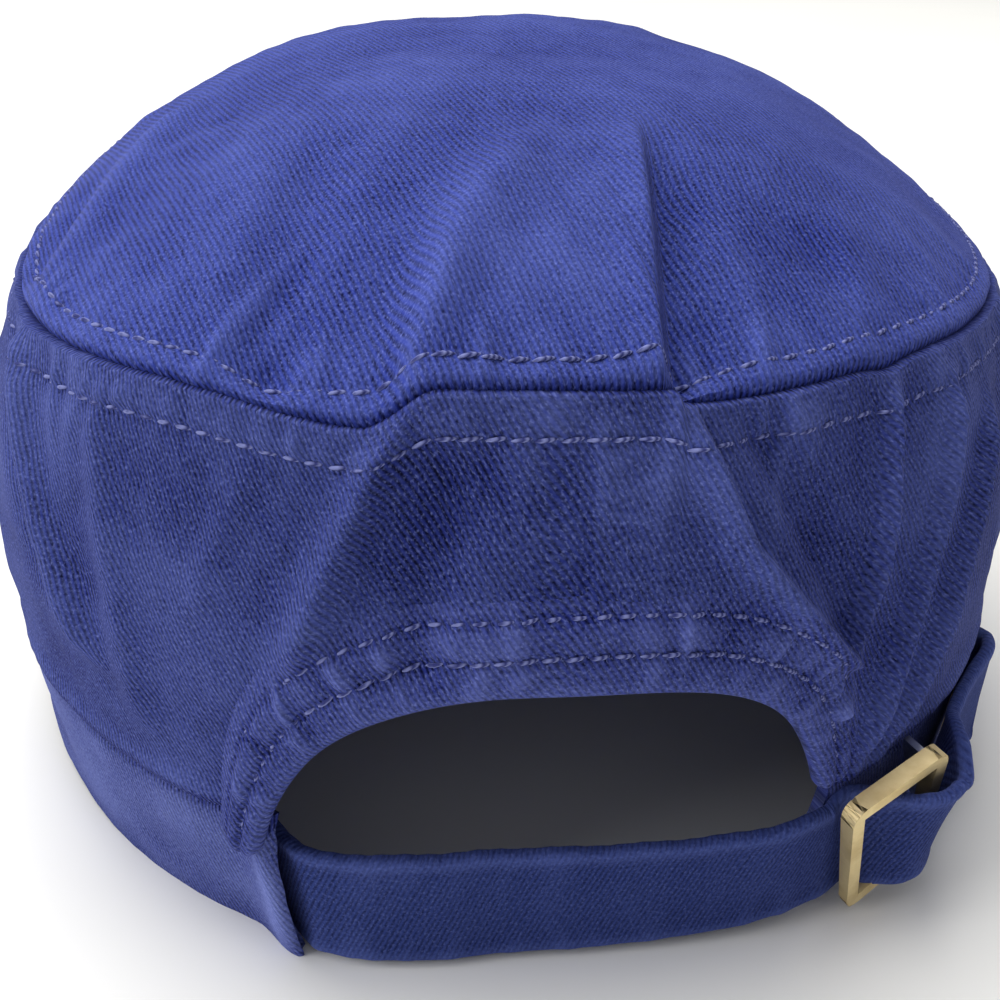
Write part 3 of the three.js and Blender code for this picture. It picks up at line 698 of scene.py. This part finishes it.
# ---------------------------------------------------------------- Opening binding
# The facing round the arch: a strip of the same twill turned over the edge and stitched
# twice, so it stands proud of the wall, with small hard puckers between the two rows.
binding_width, binding_tip_width = 11, 4.6
left_tip, right_tip, left_off = 17.5, 24, 3.2
inner_row, outer_row, binding_cloth = 5.3, 10.3, 0.6

# The strip's run in mm for each radian round the arch, at the opening and in its middle.
edge_run, middle_run = 40, 44

# Section of the strip: it rolls over the opening's edge in a half circle, then lies on the
# wall, drawn down by both rows of stitches and thin at its outer edge.
edge_roll, edge_centre = 1.7, (1.2, -0.6)
edge_steps = np.radians(np.linspace(-90, 90, 9))
flat_steps = np.linspace(1.9, 13.9, 30)
binding_steps = len(edge_steps) + len(flat_steps)


def flat_height(away):
    rows = 0.38 * bump(away - inner_row, 0.9) + 0.3 * bump(away - outer_row, 0.9)
    return 1.18 - rows - 1.6 * smooth((away - 8.4) / 6.4)


section_away = np.concatenate([edge_centre[0] - edge_roll * np.cos(edge_steps), flat_steps])
section_height = np.concatenate([
    edge_centre[1] + edge_roll * np.sin(edge_steps), flat_height(flat_steps)])


def arch_outline(turn, offset):
    """Heading and rise of a place at an offset in mm from the opening's edge."""
    def at(angle):
        power = np.where(np.cos(angle) > 0, arch["left_power"], arch["right_power"])
        share = powered(np.cos(angle), 2 / power)
        height = (1 - np.clip(np.abs(share), 0, 1) ** power) ** (1 / arch["crown_power"])
        return arch["half_width"] * mm_per_degree * share, arch["rise"] * mm_per_rise * height
    (x, y), (x0, y0), (x1, y1) = at(turn), at(turn - 0.01), at(turn + 0.01)
    length = np.hypot(x1 - x0, y1 - y0)
    out_x, out_y = x + offset * (y1 - y0) / length, y - offset * (x1 - x0) / length
    return out_x / mm_per_degree, out_y / mm_per_rise


def binding_place(turn, away, height):
    """A place on the strip: away from the edge, height over the wall, both in mm."""
    width = mix(binding_tip_width, binding_width, smooth((np.sin(turn) - 0.32) / 0.6))
    first, last = math.radians(left_tip), math.radians(180 - right_tip)
    to_tip = np.minimum(turn - first, last - turn) * edge_run
    round_off = np.sqrt(np.clip(1 - (1 - np.clip(to_tip / 3, 0, 1)) ** 2, 0.02, 1))
    lift = np.where(turn < math.pi / 2, left_off * np.cos(turn) ** 4, 0)
    middle = binding_tip_width / 2
    spread = np.where(away > 0, away * width / binding_width, away)
    spread = mix(middle, spread, round_off)
    heading, rise = arch_outline(turn, spread)
    along, span = turn * middle_run, (10, 130)
    ripple = puckers(along, away - 7.8, 61, span, pitch=2.6, height=1.1, half=0.9, reach=3.2)
    ripple += puckers(along, away - 2.8, 62, span, pitch=3.4, height=0.7, half=1.1, reach=2.6)
    ripple = ripple * smooth((away + 0.5) / 1.5) * smooth((13.4 - away) / 3) * smooth((to_tip - 2) / 9)
    base = wall_fold_height(heading, rise)
    base += crumple(wall_base(heading, rise), 11, height=0.5, shortest=9, longest=34)
    out = base + mix(-1.5, height + ripple, round_off ** 0.7) + lift
    return off_wall(heading, rise, out), heading, rise, ripple


def lay_binding(a, u):
    index = np.rint(u).astype(int)
    away = section_away[index]
    points, heading, rise, ripple = binding_place(a, away, section_height[index])
    pattern = np.stack([heading * mm_per_degree, rise * mm_per_rise], axis=-1)
    # Paler on pucker crests and at the rolled edge where washing has worn them; darker in the pucker
    # dips and along both rows of stitches as painted shade.
    rows = bump(away - inner_row, 0.7) + bump(away - outer_row, 0.7)
    edge = bump(away - 0.6, 1.3)
    return points, pattern, 0.45 + 0.5 * ripple + 0.15 * edge - 0.2 * rows


binding_twill = twill(
    "washed blue twill, facing", "#05082a", "#26317c", "#6874bc", "#7884c8", 30, 0.73, 0.8)
binding = cloth_grid(
    "opening_facing", np.radians(np.linspace(left_tip, 180 - right_tip, 230)),
    np.arange(binding_steps), lay_binding)
apply_modifier(binding, "SOLIDIFY", thickness=binding_cloth / 1000, offset=-1)
finish_piece(binding, binding_twill, "twill", "opening_binding", crease=70)

# ---------------------------------------------------------------- Peak
# A short stiffened peak: board covered with the same twill, sewn in under the headband
# at the front, with two rows of stitches along its edge.
peak_reach, peak_spread, peak_corner, peak_bluntness = 50, 56, 71, 0.86
peak_edge_arch, peak_edge_drop, peak_board = 8, 5.2, 3
peak_rows_in, peak_row_groove, peak_tuck = (4.5, 9.5), 0.25, 2.4


def close_ends():
    """Caps both open ends of the tube of cloth just made; all its faces look outwards."""
    bpy.ops.object.mode_set(mode="EDIT")
    bpy.ops.mesh.select_all(action="SELECT")
    bpy.ops.mesh.fill_holes(sides=0)
    bpy.ops.mesh.normals_make_consistent(inside=False)
    bpy.ops.object.mode_set(mode="OBJECT")


def peak_point(side, outward, up=0.0):
    heading = signed(180 + side * peak_spread)
    root = off_wall(heading, 0 * side, 0 * side - peak_tuck)
    root[..., 2] -= cloth_gap + peak_board
    turn = side * math.pi / 2
    root_end = rim_point(np.array(180.0 - peak_spread))
    depth = rim["front"] + peak_reach + root_end[1]
    rise = root_end[2] - cloth_gap - peak_board + peak_edge_drop
    edge = stacked(
        -peak_corner * np.sin(turn),
        root_end[1] - depth * np.clip(np.cos(turn), 0, 1) ** peak_bluntness - 2,
        rise * np.abs(np.sin(turn)) ** 8 + peak_edge_arch * np.cos(turn) ** 2 - peak_edge_drop)
    point = mix(root, edge, outward[..., None])
    point[..., 2] += 2.2 * np.sin(math.pi * outward) * np.cos(turn) + up
    return point


# Section of the board: out along its top, round its edge, and back along its underside.
# Each step has its share of the way out and its share of the board's thickness.
peak_length = 46
edge_share = peak_board / 2 / peak_length
peak_turn = np.radians(np.linspace(90, -90, 9))
peak_section = np.concatenate([
    [(share, 1) for share in np.linspace(0, 1 - edge_share, 44)[:-1]],
    [(1 - edge_share + edge_share * math.cos(t), 0.5 + 0.5 * math.sin(t)) for t in peak_turn],
    [(share, 0) for share in np.linspace(1 - edge_share, 0, 20)[1:]],
    [(0, 1)],
])


def lay_peak(a, u):
    index = np.rint(u).astype(int)
    outward, level = peak_section[index, 0], peak_section[index, 1]
    from_edge = (1 - outward) * peak_length
    ridge = crumple(peak_point(a, outward), 71, height=0.12, shortest=6, longest=20)
    for row_in in peak_rows_in:
        ridge -= peak_row_groove * bump(from_edge - row_in, 0.7)
    points = peak_point(a, outward, level * (peak_board - 0.1) + ridge * level)
    pattern = np.stack([points[:, 0], points[:, 1] + (1 - level) * peak_board], axis=-1)
    # Paler at the edge where washing has worn it; darker in the grooves of the stitch rows as painted
    # shade.
    return points, pattern, 0.4 + 0.6 * ridge + 0.3 * bump(from_edge, 1.5)


peak_sides = 0.985 * np.sin(np.linspace(-math.pi / 2, math.pi / 2, 150))
peak = cloth_grid(
    "peak_cloth", peak_sides, np.arange(len(peak_section)), lay_peak, flip=True, joined=True)
close_ends()
finish_piece(peak, top_twill, "twill", "peak")

# ---------------------------------------------------------------- Stitching
# Lockstitch in a paler cotton thread that has faded to lilac, a stitch every 3 mm. Each
# stitch is a short rounded thread whose ends dive into the cloth.
stitch_pitch, stitch_length, stitch_slant, thread_radius = 3.0, 3.0, 7, 0.33
stitch_rings, stitch_sides = 6, 6
stitch_lift, stitch_dive, stitch_reach = 0.22, 0.34, 1.2

# Spun cotton thread: a tight slanting twist of 0.5 mm, matt, paler than the cloth.
thread, tree, shader = new_material("faded cotton thread")
place = add_node(tree, "TexCoord", {}).outputs["Object"]
twist = {"Vector": place, "Scale": wave_repeat / 0.0005, "Distortion": 2.0}
plies = add_node(tree, "TexWave", twist, bands_direction="DIAGONAL").outputs["Fac"]
# The twist's grooves take the darker colour: painted shade between the plies.
shades = {0: plies, 6: hex_colour("#30366f"), 7: hex_colour("#787fb4")}
tone = add_node(tree, "Mix", shades, data_type="RGBA")
relief = add_node(tree, "Bump", {"Height": plies, "Strength": 0.5, "Distance": 0.00008})
set_sockets(tree, shader, {
    "Base Color": tone, "Normal": relief, "Roughness": 0.85, "Specular IOR Level": 0.2})

# One stitch along X, made once: a closed thread, highest in its middle.
bpy.ops.object.select_all(action="DESELECT")
bpy.ops.mesh.primitive_uv_sphere_add(segments=stitch_sides, ring_count=stitch_rings, radius=1)
one_stitch = bpy.context.object
stitch_shape = np.empty(len(one_stitch.data.vertices) * 3)
one_stitch.data.vertices.foreach_get("co", stitch_shape)
stitch_shape = stitch_shape.reshape(-1, 3)[:, [2, 0, 1]]
stitch_along = stitch_shape[:, :1] * stitch_length / 2
stitch_round = stitch_shape[:, 1:] * thread_radius * (1 - 0.15 * stitch_shape[:, :1] ** 2)
stitch_round[:, 1] += stitch_lift - stitch_dive * stitch_shape[:, 0] ** 2
stitch_shape = np.hstack([stitch_along, stitch_round])
stitch_faces = [tuple(face.vertices) for face in one_stitch.data.polygons]
bpy.data.objects.remove(one_stitch)


def sew(name, points, normals, seed):
    """A row of stitches through points in mm that lie close together."""
    draw = random.Random(seed)
    run = np.concatenate([[0], np.cumsum(np.linalg.norm(np.diff(points, axis=0), axis=1))])
    vertices, faces = [], []
    at = stitch_pitch / 2
    while at < run[-1] - stitch_pitch / 2:
        here, ahead = [
            np.array([np.interp(at + step, run, points[:, k]) for k in range(3)])
            for step in (-stitch_reach, stitch_reach)]
        normal = unit(np.array([np.interp(at, run, normals[:, k]) for k in range(3)]))
        along = unit(ahead - here)
        side = np.cross(normal, along)
        lean = math.radians(stitch_slant + draw.uniform(-5, 5))
        c, s = math.cos(lean), math.sin(lean)
        along, side = along * c + side * s, side * c - along * s
        middle = (here + ahead) / 2
        placed = middle + stitch_shape @ np.array([along * draw.uniform(0.9, 1.05), side, normal])
        faces += [tuple(v + len(vertices) for v in face) for face in stitch_faces]
        vertices += [tuple(p) for p in (placed + np.array(shift)) / 1000]
        at += stitch_pitch * draw.uniform(0.95, 1.05)
    mesh = bpy.data.meshes.new(name)
    mesh.from_pydata(vertices, [], faces)
    row = bpy.data.objects.new(name, mesh)
    bpy.context.scene.collection.objects.link(row)
    finish_piece(row, thread, "strap_cloth", crease=80)


around = np.arange(-180, 180.1, 0.4)
# The rows stand proud only across the middle of the back; elsewhere they have sunk in.
sunk = 0.02 - 0.2 * smooth((np.abs(around + 1) - 8) / 4)
row_rise = 0 * around + 1 - seam_row_drop / mm_per_rise
sew("wall_topstitch", wall_point(around, row_rise, sunk), wall_normal(around, row_rise), 81)
row_share = 0 * around + 1 - top_row_in / top_reach
sew("top_topstitch", top_point(around, row_share, sunk), top_normal(around, row_share), 82)
turns = np.radians(np.arange(left_tip + 6, 180 - right_tip - 4, 0.5))
sunk = 0.3 * smooth((np.abs(np.degrees(turns) - 90) - 28) / 16)
for name, away, height in (("facing_inner_row", inner_row, 0.74), ("facing_outer_row", outer_row, 0.3)):
    points, heading, rise, _ = binding_place(turns, 0 * turns + away, height - sunk)
    sew(name, points, wall_normal(heading, rise), 83)
for number, inset in enumerate(peak_rows_in):
    sides = peak_sides[3:-3]
    row_out = 0 * sides + 1 - inset / peak_length
    points = peak_point(sides, row_out, peak_board - 0.1)
    sew(f"peak_row_{number + 1}", points, stacked(0, 0, 0 * sides + 1), 85 + number)

# ---------------------------------------------------------------- Strap
# A strip of twill folded to two layers and pressed, darker than the crown. It comes from
# under the left hem, goes behind the buckle's near bar and over its far bar, then loops
# back into the slot in the headband.
strap_width, strap_cloth = 19.6, 1.6

# The buckle's place, which the strap follows: it stands on the foot of its near bar.
frame_length, frame_foot, frame_height = 18, 13, 25
frame_heading, frame_lean, frame_tilt = 27, 7, 17
near_bar_foot = Vector((-46.6, 83.3, 0.6))
frame_turn = (
    Matrix.Rotation(math.radians(180 + frame_heading), 3, "Z")
    @ Matrix.Rotation(math.radians(frame_lean), 3, "X")
    @ Matrix.Rotation(math.radians(-frame_tilt), 3, "Y"))
frame_along, frame_up = frame_turn @ Vector((1, 0, 0)), frame_turn @ Vector((0, 0, 1))
frame_out = frame_along.cross(frame_up)
frame_centre = near_bar_foot + frame_along * frame_length / 2 + frame_up * frame_height / 2

# The slot in the headband.
slot_heading, slot_rise = -60.5, 0.15
slot_length, slot_width, slot_rim, slot_press = 20.6, 5.8, 1.7, 0.35


def plain_band(heading, rise, out):
    return Vector(off_wall(np.array(float(heading)), np.array(rise), np.array(float(out))))


slot_middle = plain_band(slot_heading, slot_rise, -cloth_gap)
slot_around = plain_band(slot_heading + 1, slot_rise, 0) - plain_band(slot_heading - 1, slot_rise, 0)
slot_around.normalize()
slot_up = (plain_band(slot_heading, 0.2, 0) - plain_band(slot_heading, 0.11, 0)).normalized()
slot_out = slot_around.cross(slot_up).normalized()
if slot_out.x > 0:
    slot_out = -slot_out
slot_side = slot_up.cross(slot_out).normalized()

# Middle line across the opening: x, y, lift off the table and outward lean in degrees.
strap_across = [
    (40.5, 75.8, 0, 4), (38, 79, 0, 5), (35.5, 82.8, 0, 5), (32.4, 86.3, 0, 4), (25.6, 88.4, 0, 2),
    (16, 89.2, 0, 1), (6.4, 88.8, 0, 2), (-8, 89, 0.2, 4), (-22, 88.6, 0.7, 6), (-33, 87.2, 1.4, 8)]
# Through the buckle: along it from its middle, out of its plane, up, and lean.
strap_in_frame = [
    (-10.6, -3.5, 0, 6), (-6.4, -3.4, 0, 6), (-3, -0.4, -0.2, 7), (0.4, 2.3, -0.8, 10),
    (4, 2.8, -1.3, 13), (7.2, 1.6, -1.3, 14), (9.8, -1, -1.2, 12)]
# The free end: x, y, z and lean.
strap_tail = [(-63, 68.5, 15.2, 8), (-67.1, 63, 14.9, 4), (-72, 57.1, 14.8, 2), (-76.4, 51.6, 15, 3)]
# Into the slot: out of the band, and sideways.
strap_into_slot = [(2.9, -1.2), (1.2, 0), (-0.4, 0), (-1.9, 0)]

stations = []
for x, y, lift, lean in strap_across:
    height = cloth_gap + strap_width / 2 * math.cos(math.radians(lean)) + strap_cloth / 2 + lift
    stations.append((x, y, height, lean))
for along, out, up, lean in strap_in_frame:
    stations.append((*(frame_centre + frame_along * along + frame_out * out + frame_up * up), lean))
stations += strap_tail
for out, aside in strap_into_slot:
    stations.append((*(slot_middle + slot_out * out + slot_side * aside), 3))
stations = np.array(stations)


def strap_middle(t):
    """Point and lean at t stations along: a smooth curve through all of them."""
    path = np.vstack([2 * stations[0] - stations[1], stations, 2 * stations[-1] - stations[-2]])
    index = np.clip(t.astype(int), 0, len(stations) - 2)
    part = (t - index)[:, None]
    p0, p1, p2, p3 = [path[index + k] for k in range(4)]
    gaps = [np.linalg.norm((b - a)[:, :3], axis=1) for a, b in ((p0, p1), (p1, p2), (p2, p3))]
    d0, d1, d2 = [np.sqrt(gap)[:, None] for gap in gaps]
    m1 = ((p1 - p0) / d0 - (p2 - p0) / (d0 + d1) + (p2 - p1) / d1) * d1
    m2 = ((p2 - p1) / d1 - (p3 - p1) / (d1 + d2) + (p3 - p2) / d2) * d1
    c2, c3 = -3 * p1 + 3 * p2 - 2 * m1 - m2, 2 * p1 - 2 * p2 + m1 + m2
    curve = p1 + m1 * part + c2 * part ** 2 + c3 * part ** 3
    curve[:, 3] = mix(p1[:, 3], p2[:, 3], part[:, 0])
    return curve


# Section of the strap: a flat band with round edges, as side and height from its middle.
edge_round = strap_cloth / 2
reach = strap_width / 2 - edge_round


def round_edge(middle, first):
    turns = np.linspace(first + 0.2, first + math.pi - 0.2, 6)
    return [(edge_round * math.cos(t), middle + edge_round * math.sin(t)) for t in turns]


section = [(edge_round, h) for h in np.linspace(-reach, reach, 26)] + round_edge(reach, 0)
section += [(-edge_round, h) for h in np.linspace(reach, -reach, 12)] + round_edge(-reach, math.pi)
section = np.array(section + section[:1])
section_run = np.concatenate([[0], np.cumsum(np.hypot(*np.diff(section, axis=0).T))])
strap_steps = np.linspace(0, len(stations) - 1, 300)
strap_points = strap_middle(strap_steps)
strap_gaps = np.linalg.norm(np.diff(strap_points[:, :3], axis=0), axis=1)
strap_run = np.concatenate([[0], np.cumsum(strap_gaps)])


def lay_strap(a, u):
    middle = strap_middle(a)
    ahead = strap_middle(np.minimum(a + 0.02, len(stations) - 1))
    behind = strap_middle(np.maximum(a - 0.02, 0))
    tangent = unit((ahead - behind)[:, :3])
    lean = np.radians(middle[:, 3])
    level = unit(np.stack([tangent[:, 1], -tangent[:, 0], 0 * lean], axis=1))
    out = level * np.cos(lean)[:, None] - np.array((0, 0, 1.0)) * np.sin(lean)[:, None]
    up = unit(np.cross(out, tangent))
    index = np.rint(u).astype(int)
    side, height = section[index, 0], section[index, 1]
    run = np.interp(a, strap_steps, strap_run)
    edge = bump(np.abs(height) - reach, 1.1)
    lip = 0.28 * bump(np.abs(height) - reach + 0.3, 1.2)
    span = (2, 175)
    wave = puckers(run, height - 6, 91, span, pitch=8, height=0.22, half=2.2, reach=7)
    wave += puckers(run, height + 8, 92, span, pitch=5, height=0.3, half=1.2, reach=4)
    press = np.where(side > 0, wave + lip, lip)
    ragged = 0.22 * np.sin(run * 0.55) + 0.16 * np.sin(run * 1.9 + 1)
    points = middle[:, :3] + out * (side + np.sign(side) * press)[:, None]
    points = points + up * (height + ragged * 0.5 * (height > 0))[:, None]
    pattern = np.stack([run, section_run[index]], axis=-1)
    # Paler at the folded edges and on pucker crests where washing has worn them; darker in the pucker
    # dips as painted shade.
    return points, pattern, 0.3 + 0.5 * edge + 0.9 * wave


# The strap has kept more of its dye, so its twill is darker and its rib lies flatter.
strap_twill = twill("dark blue twill, strap", "#141d4a", "#293873", "#4e5c9c", "#5c69a6", 24, 0.73, 0.35)
strap = cloth_grid(
    "strap_cloth", strap_steps, np.arange(len(section)), lay_strap, flip=True, joined=True)
close_ends()
finish_piece(strap, strap_twill, "strap_cloth", "strap", crease=70)

# ---------------------------------------------------------------- Buckle frame
# A slide frame of brass bar, rubbed matt by handling, narrower at its foot. The strap is
# drawn through it and holds it against the cap.
bar, bar_thick, bar_corner, bar_round, foot_splay = 2.1, 2.6, 2.5, 0.55, 1.4
near_foot_up, far_foot_up, foot_thin = 0.8, 3.2, 0.62

# Brass: yellow, with a fine brushed grain and darker tarnish in patches.
brass, tree, shader = new_material("worn cast brass")
place = add_node(tree, "TexCoord", {}).outputs["Object"]
stretched = add_node(tree, "Mapping", {"Vector": place, "Scale": (1, 1, 9)})
grain = add_node(tree, "TexNoise", {"Vector": stretched, "Scale": 420.0, "Detail": 3.0})
tarnish = add_node(tree, "TexNoise", {"Vector": place, "Scale": 160.0, "Detail": 4.0})
patches = add_node(tree, "MapRange", {"Value": tarnish, "From Min": 0.42, "From Max": 0.72})
shades = {0: patches, 6: hex_colour("#ecd9a8"), 7: hex_colour("#cdb582")}
tone = add_node(tree, "Mix", shades, data_type="RGBA")
dull = add_node(tree, "MapRange", {
    "Value": grain, "From Min": 0.3, "From Max": 0.7, "To Min": 0.5, "To Max": 0.62})
scratches = add_node(tree, "Bump", {"Height": grain, "Strength": 0.25, "Distance": 0.00004})
set_sockets(tree, shader, {
    "Base Color": tone, "Metallic": 1.0, "Roughness": dull, "Normal": scratches})


def set_on_axes(piece, origin, x_axis, y_axis, z_axis):
    """Turns a piece made in mm about its own middle into its place in the frame."""
    turn = Matrix((x_axis, y_axis, z_axis)).transposed().to_4x4()
    piece.data.transform(Matrix.Scale(0.001, 4) @ Matrix.Translation(origin + shift) @ turn)


bpy.ops.object.select_all(action="DESELECT")
bpy.ops.mesh.primitive_plane_add(size=1)
buckle = bpy.context.object
buckle.name = buckle.data.name = "buckle_frame_brass"
for corner in buckle.data.vertices:
    upper = corner.co.y > 0
    far = (frame_length if upper else frame_foot) - frame_length / 2
    near = -frame_length / 2 - (0 if upper else foot_splay)
    foot = (far_foot_up if corner.co.x > 0 else near_foot_up) - frame_height / 2
    corner.co = (far if corner.co.x > 0 else near, frame_height / 2 if upper else foot, 0)
bpy.ops.object.mode_set(mode="EDIT")
bpy.ops.mesh.select_all(action="SELECT")
bpy.ops.mesh.inset(thickness=bar)
bpy.ops.mesh.delete(type="FACE")
bpy.ops.mesh.select_all(action="DESELECT")
bpy.ops.object.mode_set(mode="OBJECT")
for outer_corner in buckle.data.vertices[:4]:
    outer_corner.select = True
bpy.ops.object.mode_set(mode="EDIT")
bpy.ops.mesh.select_mode(type="VERT")
bpy.ops.mesh.bevel(offset=bar_corner, segments=5, affect="VERTICES")
bpy.ops.object.mode_set(mode="OBJECT")
apply_modifier(buckle, "SOLIDIFY", thickness=bar_thick, offset=0)
apply_modifier(
    buckle, "BEVEL", width=bar_round, segments=3, limit_method="ANGLE", angle_limit=math.radians(50))
for vertex in buckle.data.vertices:
    vertex.co.z *= mix(foot_thin, 1, vertex.co.y / frame_height + 0.5)
set_on_axes(buckle, frame_centre, frame_along, frame_up, frame_out)
finish_piece(buckle, brass, "brass", "buckle_frame", crease=40)

# ---------------------------------------------------------------- Buckle jaw
# The sprung steel plate behind the far bar that bites the strap. It is nickelled, so it
# shows paler and cooler than the brass.
steel, tree, shader = new_material("nickelled steel")
place = add_node(tree, "TexCoord", {}).outputs["Object"]
grain = add_node(tree, "TexNoise", {"Vector": place, "Scale": 900.0, "Detail": 3.0})
shades = {0: grain, 6: hex_colour("#a9adb2"), 7: hex_colour("#d4d7da")}
tone = add_node(tree, "Mix", shades, data_type="RGBA")
scratches = add_node(tree, "Bump", {"Height": grain, "Strength": 0.2, "Distance": 0.00003})
set_sockets(tree, shader, {
    "Base Color": tone, "Metallic": 1.0, "Roughness": 0.3, "Normal": scratches})
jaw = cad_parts["buckle_jaw"]
jaw.data.materials.clear()
jaw.data.materials.append(steel)

# ---------------------------------------------------------------- Slot rim
# The pressed brass rim of the slot that takes the strap's end.
bpy.ops.object.select_all(action="DESELECT")
rim_radius = slot_width / 2 + slot_rim / 2
bpy.ops.mesh.primitive_torus_add(
    major_radius=rim_radius, minor_radius=slot_rim / 2, major_segments=48, minor_segments=14)
slot_ring = bpy.context.object
slot_ring.name = slot_ring.data.name = "slot_rim_brass"
straight = slot_length / 2 + slot_rim / 2 - rim_radius
for vertex in slot_ring.data.vertices:
    vertex.co.y += math.copysign(straight, vertex.co.y)
    vertex.co.z *= slot_press
set_on_axes(slot_ring, slot_middle + slot_out * 0.2, slot_side, slot_up, slot_out)
finish_piece(slot_ring, brass, "brass", "slot_grommet", crease=60)
